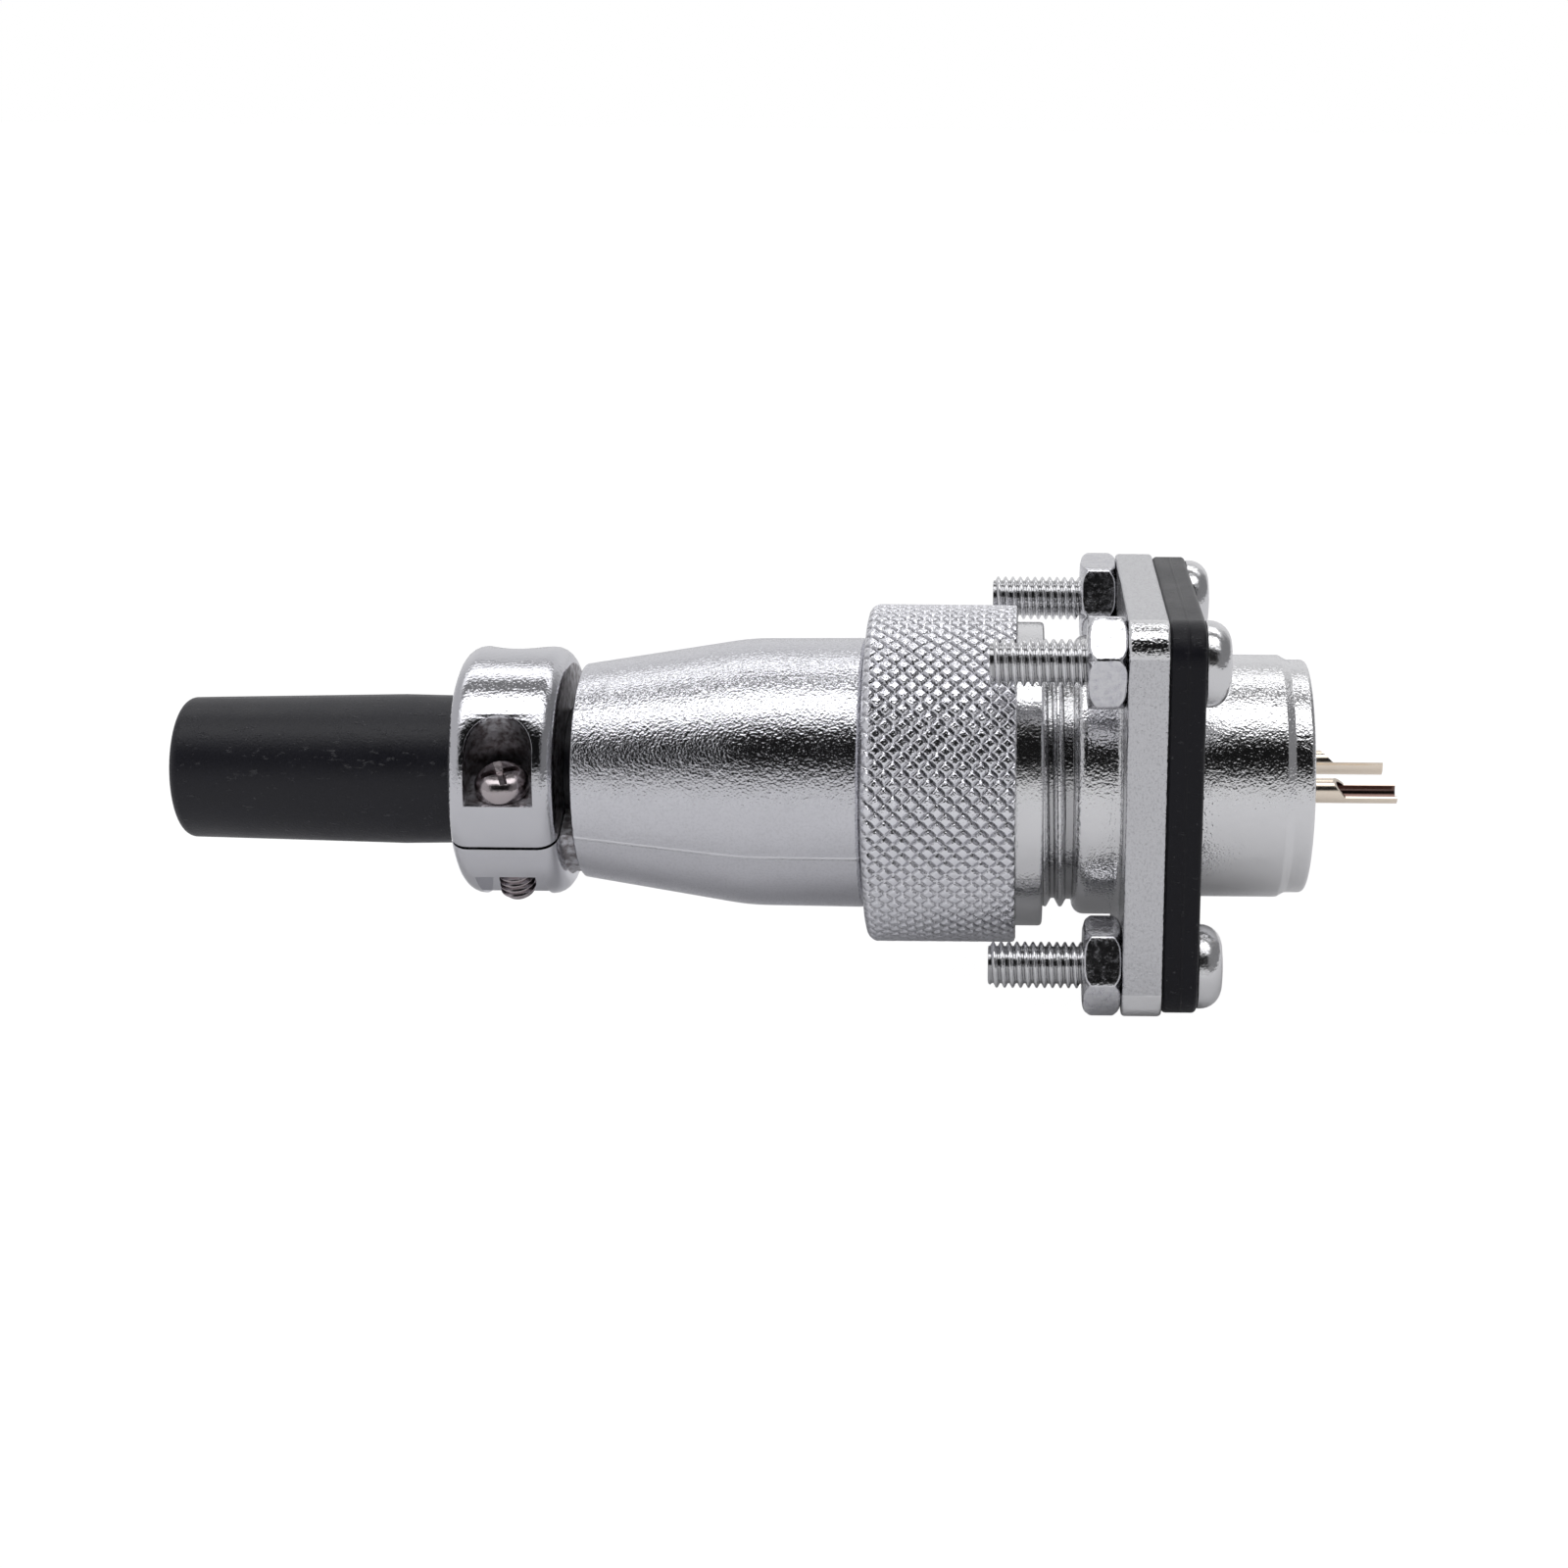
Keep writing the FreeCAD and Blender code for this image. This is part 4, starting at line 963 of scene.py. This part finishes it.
def hexagon_nut():
    """A nut from x = 0 forwards, chamfered on both faces."""
    outline = hexagon_outline(NUT_FLATS, NUT_CORNER)
    flat = NUT_FLATS / 2 - 0.3
    bore = SCREW_RADIUS + 0.03
    quarter = [math.radians(30) * step for step in range(4)]
    rounding = [(NUT_EDGE * (1 - math.sin(turn)), NUT_EDGE * (1 - math.cos(turn)))
                for turn in quarter]

    def ring(along, radius):
        return [(along, radius * across / math.hypot(across, up),
                 radius * up / math.hypot(across, up)) for across, up in outline]

    def fall(across, up):
        share = (math.hypot(across, up) - flat) / (NUT_FLATS / math.sqrt(3) - flat)
        return NUT_FALL * max(share, 0.0) ** NUT_FALL_POWER

    def side(front, inset, extra):
        points = []
        for across, up in outline:
            shrink = 1 - inset / math.hypot(across, up)
            drop = fall(across, up) * shrink + extra
            along = -NUT_THICKNESS + drop if front else -drop
            points.append((along, across * shrink, up * shrink))
        return points

    rows = [
        ring(-NUT_THICKNESS, bore),
        ring(-NUT_THICKNESS, flat - 0.08),
        ring(-NUT_THICKNESS + 0.02, flat),
        *[side(True, inset, extra) for inset, extra in rounding],
        *[side(False, inset, extra) for inset, extra in reversed(rounding)],
        ring(-0.02, flat),
        ring(0, flat - 0.08),
        ring(0, bore),
    ]
    return band(rows, closed=True)


def make_flange_nuts():
    """The four nuts on the flange, each turned as it was tightened."""
    one = hexagon_nut()
    group = Shape()
    for (across, up), angle in zip(FASTENER_PLACES, NUT_TURNS):
        group.add(one, Matrix.Translation((FLANGE_FRONT, across, up))
                  @ Matrix.Rotation(math.radians(-angle), 4, "X"))
    add_piece("flange_nuts_detail", group, NUT_STEEL, "flange_nuts", sharp=35)


def box_outline(start, end, near, far):
    """The (along, across) corners of a rectangle, either way round."""
    near, far = min(near, far), max(near, far)
    return [(start, near), (end, near), (end, far), (start, far)]


def screw_hole(side, radius):
    """A cutter for one of the clamp's upright screw holes."""
    circle = [(CLAMP_MIDDLE + radius * cos, side * CLAMP_SCREW_OFFSET + radius * sin)
              for cos, sin in around(32)]
    return prism(circle, -BEYOND - 2, BEYOND + 2)


def tilted(shape):
    """A shape turned about X by the clamp's tilt."""
    return Shape().add(shape, Matrix.Rotation(CLAMP_TILT, 4, "X"))


def turned_blank(corners):
    """A turned form for one half of the clamp, before it is cut."""
    return Shape().add(lathe(rounded(corners), 180), Matrix.Rotation(BLANK_TURN, 4, "X"))


def make_backshell():
    """The cast backshell with the fixed half of the clamp."""
    blank = turned_blank([
        (BACKSHELL_FRONT, BACKSHELL_BORE, 0.15),
        (O_RING_SEAT, BACKSHELL_BORE, 0),
        (O_RING_SEAT, O_RING_LAND, 0.1),
        (WAIST, O_RING_LAND, 0.1),
        (WAIST, HOLLOW_RADIUS, 0),
        (BACKSHELL_END + BACKSHELL_WALL, HOLLOW_END_RADIUS, 0.2),
        (BACKSHELL_END + BACKSHELL_WALL, CLAMP_PASSAGE, 0.1),
        (CLAMP_REAR, CLAMP_PASSAGE, CLAMP_EDGE),
        (CLAMP_REAR, CLAMP_RADIUS, CLAMP_ROUND),
        (CLAMP_FRONT, CLAMP_RADIUS, CLAMP_ROUND),
        (CLAMP_FRONT, NECK_RADIUS, 0.25),
        (BACKSHELL_END, NECK_RADIUS, 0.15),
        (BACKSHELL_END, BACKSHELL_END_RADIUS, 0.15),
        (WAIST, WAIST_RADIUS, WAIST_BLEND),
        (BACKSHELL_FRONT, BACKSHELL_RADIUS, BACKSHELL_EDGE),
    ])
    cutters = [prism(box_outline(CLAMP_REAR - 1, BACKSHELL_END, -BEYOND, BEYOND),
                     CLAMP_PARTING - CLAMP_GAP / 2, BEYOND)]
    for side in (-1, 1):
        inner = side * (CLAMP_SCREW_OFFSET - CLAMP_SCREW_RADIUS - CLAMP_GAP)
        cutters.append(prism(box_outline(CLAMP_MIDDLE - CLAMP_POCKET, CLAMP_MIDDLE + CLAMP_POCKET,
                                         inner, side * BEYOND), -BEYOND, -CLAMP_NOTCH_FLOOR))
        cutters.append(screw_hole(side, CLAMP_SCREW_RADIUS + 0.03))
    add_piece("backshell_detail", tilted(soften(cut(blank, cutters), CLAMP_SOFT_EDGE)),
              CAST_FINE, "backshell")


def saddle_pocket(side):
    """A cutter for one arched pocket, open towards the clamp's side."""
    middle = side * CLAMP_SCREW_OFFSET
    arch = []
    steps = 24
    for step in range(steps + 1):
        turn = math.pi * step / steps
        arch.append((CLAMP_MIDDLE + CLAMP_POCKET * math.cos(turn),
                     middle - side * CLAMP_POCKET * math.sin(turn)))
    arch.append((CLAMP_MIDDLE - CLAMP_POCKET, side * BEYOND))
    arch.append((CLAMP_MIDDLE + CLAMP_POCKET, side * BEYOND))
    if side > 0:
        arch.reverse()
    return prism(arch, CLAMP_FLOOR, BEYOND + 2)


def make_cable_saddle():
    """The loose half of the clamp, with its pockets for the screw heads."""
    blank = turned_blank([
        (CLAMP_REAR, CLAMP_PASSAGE, CLAMP_EDGE),
        (CLAMP_REAR, CLAMP_RADIUS, CLAMP_ROUND),
        (CLAMP_FRONT, CLAMP_RADIUS, CLAMP_ROUND),
        (CLAMP_FRONT, CLAMP_PASSAGE, CLAMP_EDGE),
    ])
    cutters = [prism(box_outline(CLAMP_REAR - 1, CLAMP_FRONT + 1, -BEYOND, BEYOND), -BEYOND,
                     CLAMP_PARTING + CLAMP_GAP / 2)]
    for side in (-1, 1):
        cutters.append(saddle_pocket(side))
        cutters.append(screw_hole(side, CLAMP_SCREW_RADIUS + 0.1))
    add_piece("cable_saddle_detail", tilted(soften(cut(blank, cutters), CLAMP_SOFT_EDGE)),
              CLAMP_PLATE, "cable_saddle")


def make_clamp_screws():
    """The two screws of the cable clamp, square to its parting plane."""
    one = screw(CLAMP_SCREW_RADIUS, root=0.93, length=CLAMP_FLOOR + CLAMP_SCREW_BELOW,
                pitch=0.45, head_radius=1.7, head_height=1.4, head_round=1.05,
                recess=(0.7, 1.35, 0.5))
    upright = Matrix.Rotation(math.radians(-90), 4, "Y")
    group = Shape()
    for side, angle in ((-1, 20), (1, 55)):
        group.add(one, Matrix.Rotation(CLAMP_TILT, 4, "X")
                  @ Matrix.Translation((CLAMP_MIDDLE, side * CLAMP_SCREW_OFFSET, CLAMP_FLOOR))
                  @ upright @ Matrix.Rotation(math.radians(angle), 4, "X"))
    add_piece("clamp_screws_detail", group, CLAMP_SCREW, "clamp_screws")


# Surroundings

FLOOR_LEVEL = CAD_BOX[0][2]

# Brightness of the studio round the X axis: degrees up from the camera's side, and the level.
# Light boards stand over the object, and the camera's own side is dark.
STUDIO = ((-180, 0.46), (-100, 0.46), (-70, 0.64), (7, 0.66), (15, 0.10), (21, 0.008), (50, 0.008),
          (59, 0.45), (68, 2.1), (87, 2.1), (92, 0.24), (106, 0.24), (111, 1.7), (126, 1.7),
          (129, 0.30), (136, 0.72), (160, 0.80), (180, 0.74))

# Brightness of the studio's walls at the sleeve's end and at the solder cups' end, and the shares
# of a direction's length along X between which the walls take over
WALLS = (0.55, 0.22)
WALLS_BETWEEN = (0.42, 0.78)
# The light is a little blue: the bands' red and green, and the walls' blue, against the level
BAND_RED_GREEN = 0.985
WALL_BLUE = 1.03

# How much the floor glows in reflections, and how much more the camera sees of its glow
FLOOR_GLOW = 0.06
FLOOR_SEEN = 0.86


def make_world():
    """A pale studio that the metal reflects as bands of light and dark."""
    world = bpy.data.worlds.new("studio")
    SCENE.world = world
    studio = Nodes(world)
    place = studio.node("TexCoord").outputs["Generated"]
    direction = studio.node("SeparateXYZ", {"Vector": place}).outputs
    towards = studio.math("MULTIPLY", direction["Y"], -1.0)
    angle = studio.math("ARCTAN2", direction["Z"], towards)
    share = studio.math("ADD", studio.math("DIVIDE", angle, 2 * math.pi), 0.5)
    ramp = studio.node("ValToRGB", {"Fac": share})
    stops = ramp.color_ramp.elements
    while len(stops) < len(STUDIO):
        stops.new(0.5)
    for stop, (degrees, level) in zip(stops, STUDIO):
        stop.position = degrees / 360 + 0.5
        stop.color = (level * BAND_RED_GREEN, level * BAND_RED_GREEN, level, 1.0)
    low, high = WALLS_BETWEEN
    sideways = studio.node("MapRange", {"Value": studio.math("ABSOLUTE", direction["X"]),
                                        "From Min": low, "From Max": high},
                           interpolation_type="SMOOTHSTEP")
    walls = studio.blend(studio.math("GREATER_THAN", direction["X"], 0.0),
                         *[(level, level, level * WALL_BLUE, 1.0) for level in WALLS])
    ends = studio.blend(sideways.outputs["Result"], ramp.outputs["Color"], walls)
    camera_ray = studio.node("LightPath").outputs["Is Camera Ray"]
    seen = studio.blend(camera_ray, ends, (1.0, 1.0, 1.0, 1.0))
    background = studio.node("Background", {"Color": seen})
    studio.node("OutputWorld", {"Surface": background.outputs["Background"]})


def make_floor():
    """A plain pale floor at the lowest point of the object."""
    mesh = bpy.data.meshes.new("floor")
    reach = 3.0
    corners = ((-reach, -reach), (reach, -reach), (reach, reach), (-reach, reach))
    mesh.from_pydata([(*corner, FLOOR_LEVEL) for corner in corners], [], [(0, 1, 2, 3)])
    material = bpy.data.materials.new("pale_floor")
    surface = Nodes(material)
    paper = surface.node("BsdfDiffuse", {"Color": (0.86, 0.86, 0.87, 1.0)})
    glow = surface.node("Emission", {"Strength": 1.08})
    camera_ray = surface.node("LightPath").outputs["Is Camera Ray"]
    share = surface.node("Math", {0: camera_ray, 1: FLOOR_SEEN, 2: FLOOR_GLOW},
                         operation="MULTIPLY_ADD")
    mix = surface.node("MixShader", {"Fac": share.outputs["Value"], 1: paper.outputs["BSDF"],
                                     2: glow.outputs["Emission"]})
    surface.node("OutputMaterial", {"Surface": mix.outputs["Shader"]})
    mesh.materials.append(material)
    floor = bpy.data.objects.new("floor", mesh)
    SCENE.collection.objects.link(floor)


def make_camera():
    """The photograph's view: square to the axis from a little above, slightly rolled.

    The photograph was cropped off its centre, so the object stands left of the line of sight.
    """
    raised = math.radians(15.7)
    pitch = math.radians(0.243)
    roll = math.radians(0.48)
    distance = 0.160
    across = -11.33 * MM
    forward = Vector((0, math.cos(raised), -math.sin(raised)))
    right = Vector((1, 0, 0))
    up = Vector((0, math.sin(raised), math.cos(raised)))
    place = Vector((across, 0, 0)) - forward * distance
    forward, up = (forward * math.cos(pitch) - up * math.sin(pitch),
                   up * math.cos(pitch) + forward * math.sin(pitch))
    right, up = (right * math.cos(roll) + up * math.sin(roll),
                 up * math.cos(roll) - right * math.sin(roll))
    data = bpy.data.cameras.new("camera")
    data.lens = 56.2
    data.sensor_width = 36.0
    data.shift_x = -0.148
    data.clip_start = 0.005
    data.clip_end = 20.0
    camera = bpy.data.objects.new("camera", data)
    camera.matrix_world = Matrix((
        (right.x, up.x, -forward.x, place.x),
        (right.y, up.y, -forward.y, place.y),
        (right.z, up.z, -forward.z, place.z),
        (0, 0, 0, 1),
    ))
    SCENE.collection.objects.link(camera)
    SCENE.camera = camera


def main():
    """Builds the surroundings, the detailed pieces and the materials of the CAD nodes."""
    make_camera()
    make_world()
    make_floor()
    SCENE.view_settings.view_transform = "Standard"
    make_receptacle_shell()
    make_coupling_ring()
    make_flange_screws()
    make_flange_nuts()
    make_backshell()
    make_cable_saddle()
    make_clamp_screws()
    for node, material in (
            ("plug_shell", CAST_PLUG),
            ("flange_gasket", GASKET_RUBBER), ("face_seal", SEAL_RUBBER),
            ("backshell_o_ring", SEAL_RUBBER), ("cable_sleeve", SLEEVE_RUBBER),
            ("receptacle_insert", PLASTIC), ("plug_insert", PLASTIC),
            ("receptacle_snap_ring", SPRING), ("plug_snap_ring", SPRING),
            ("pin_contact_front", GOLD_FRONT), ("pin_contact_back", GOLD_BACK),
            ("socket_contact_front", GOLD_FRONT), ("socket_contact_back", GOLD_BACK)):
        dress(node, material)


main()
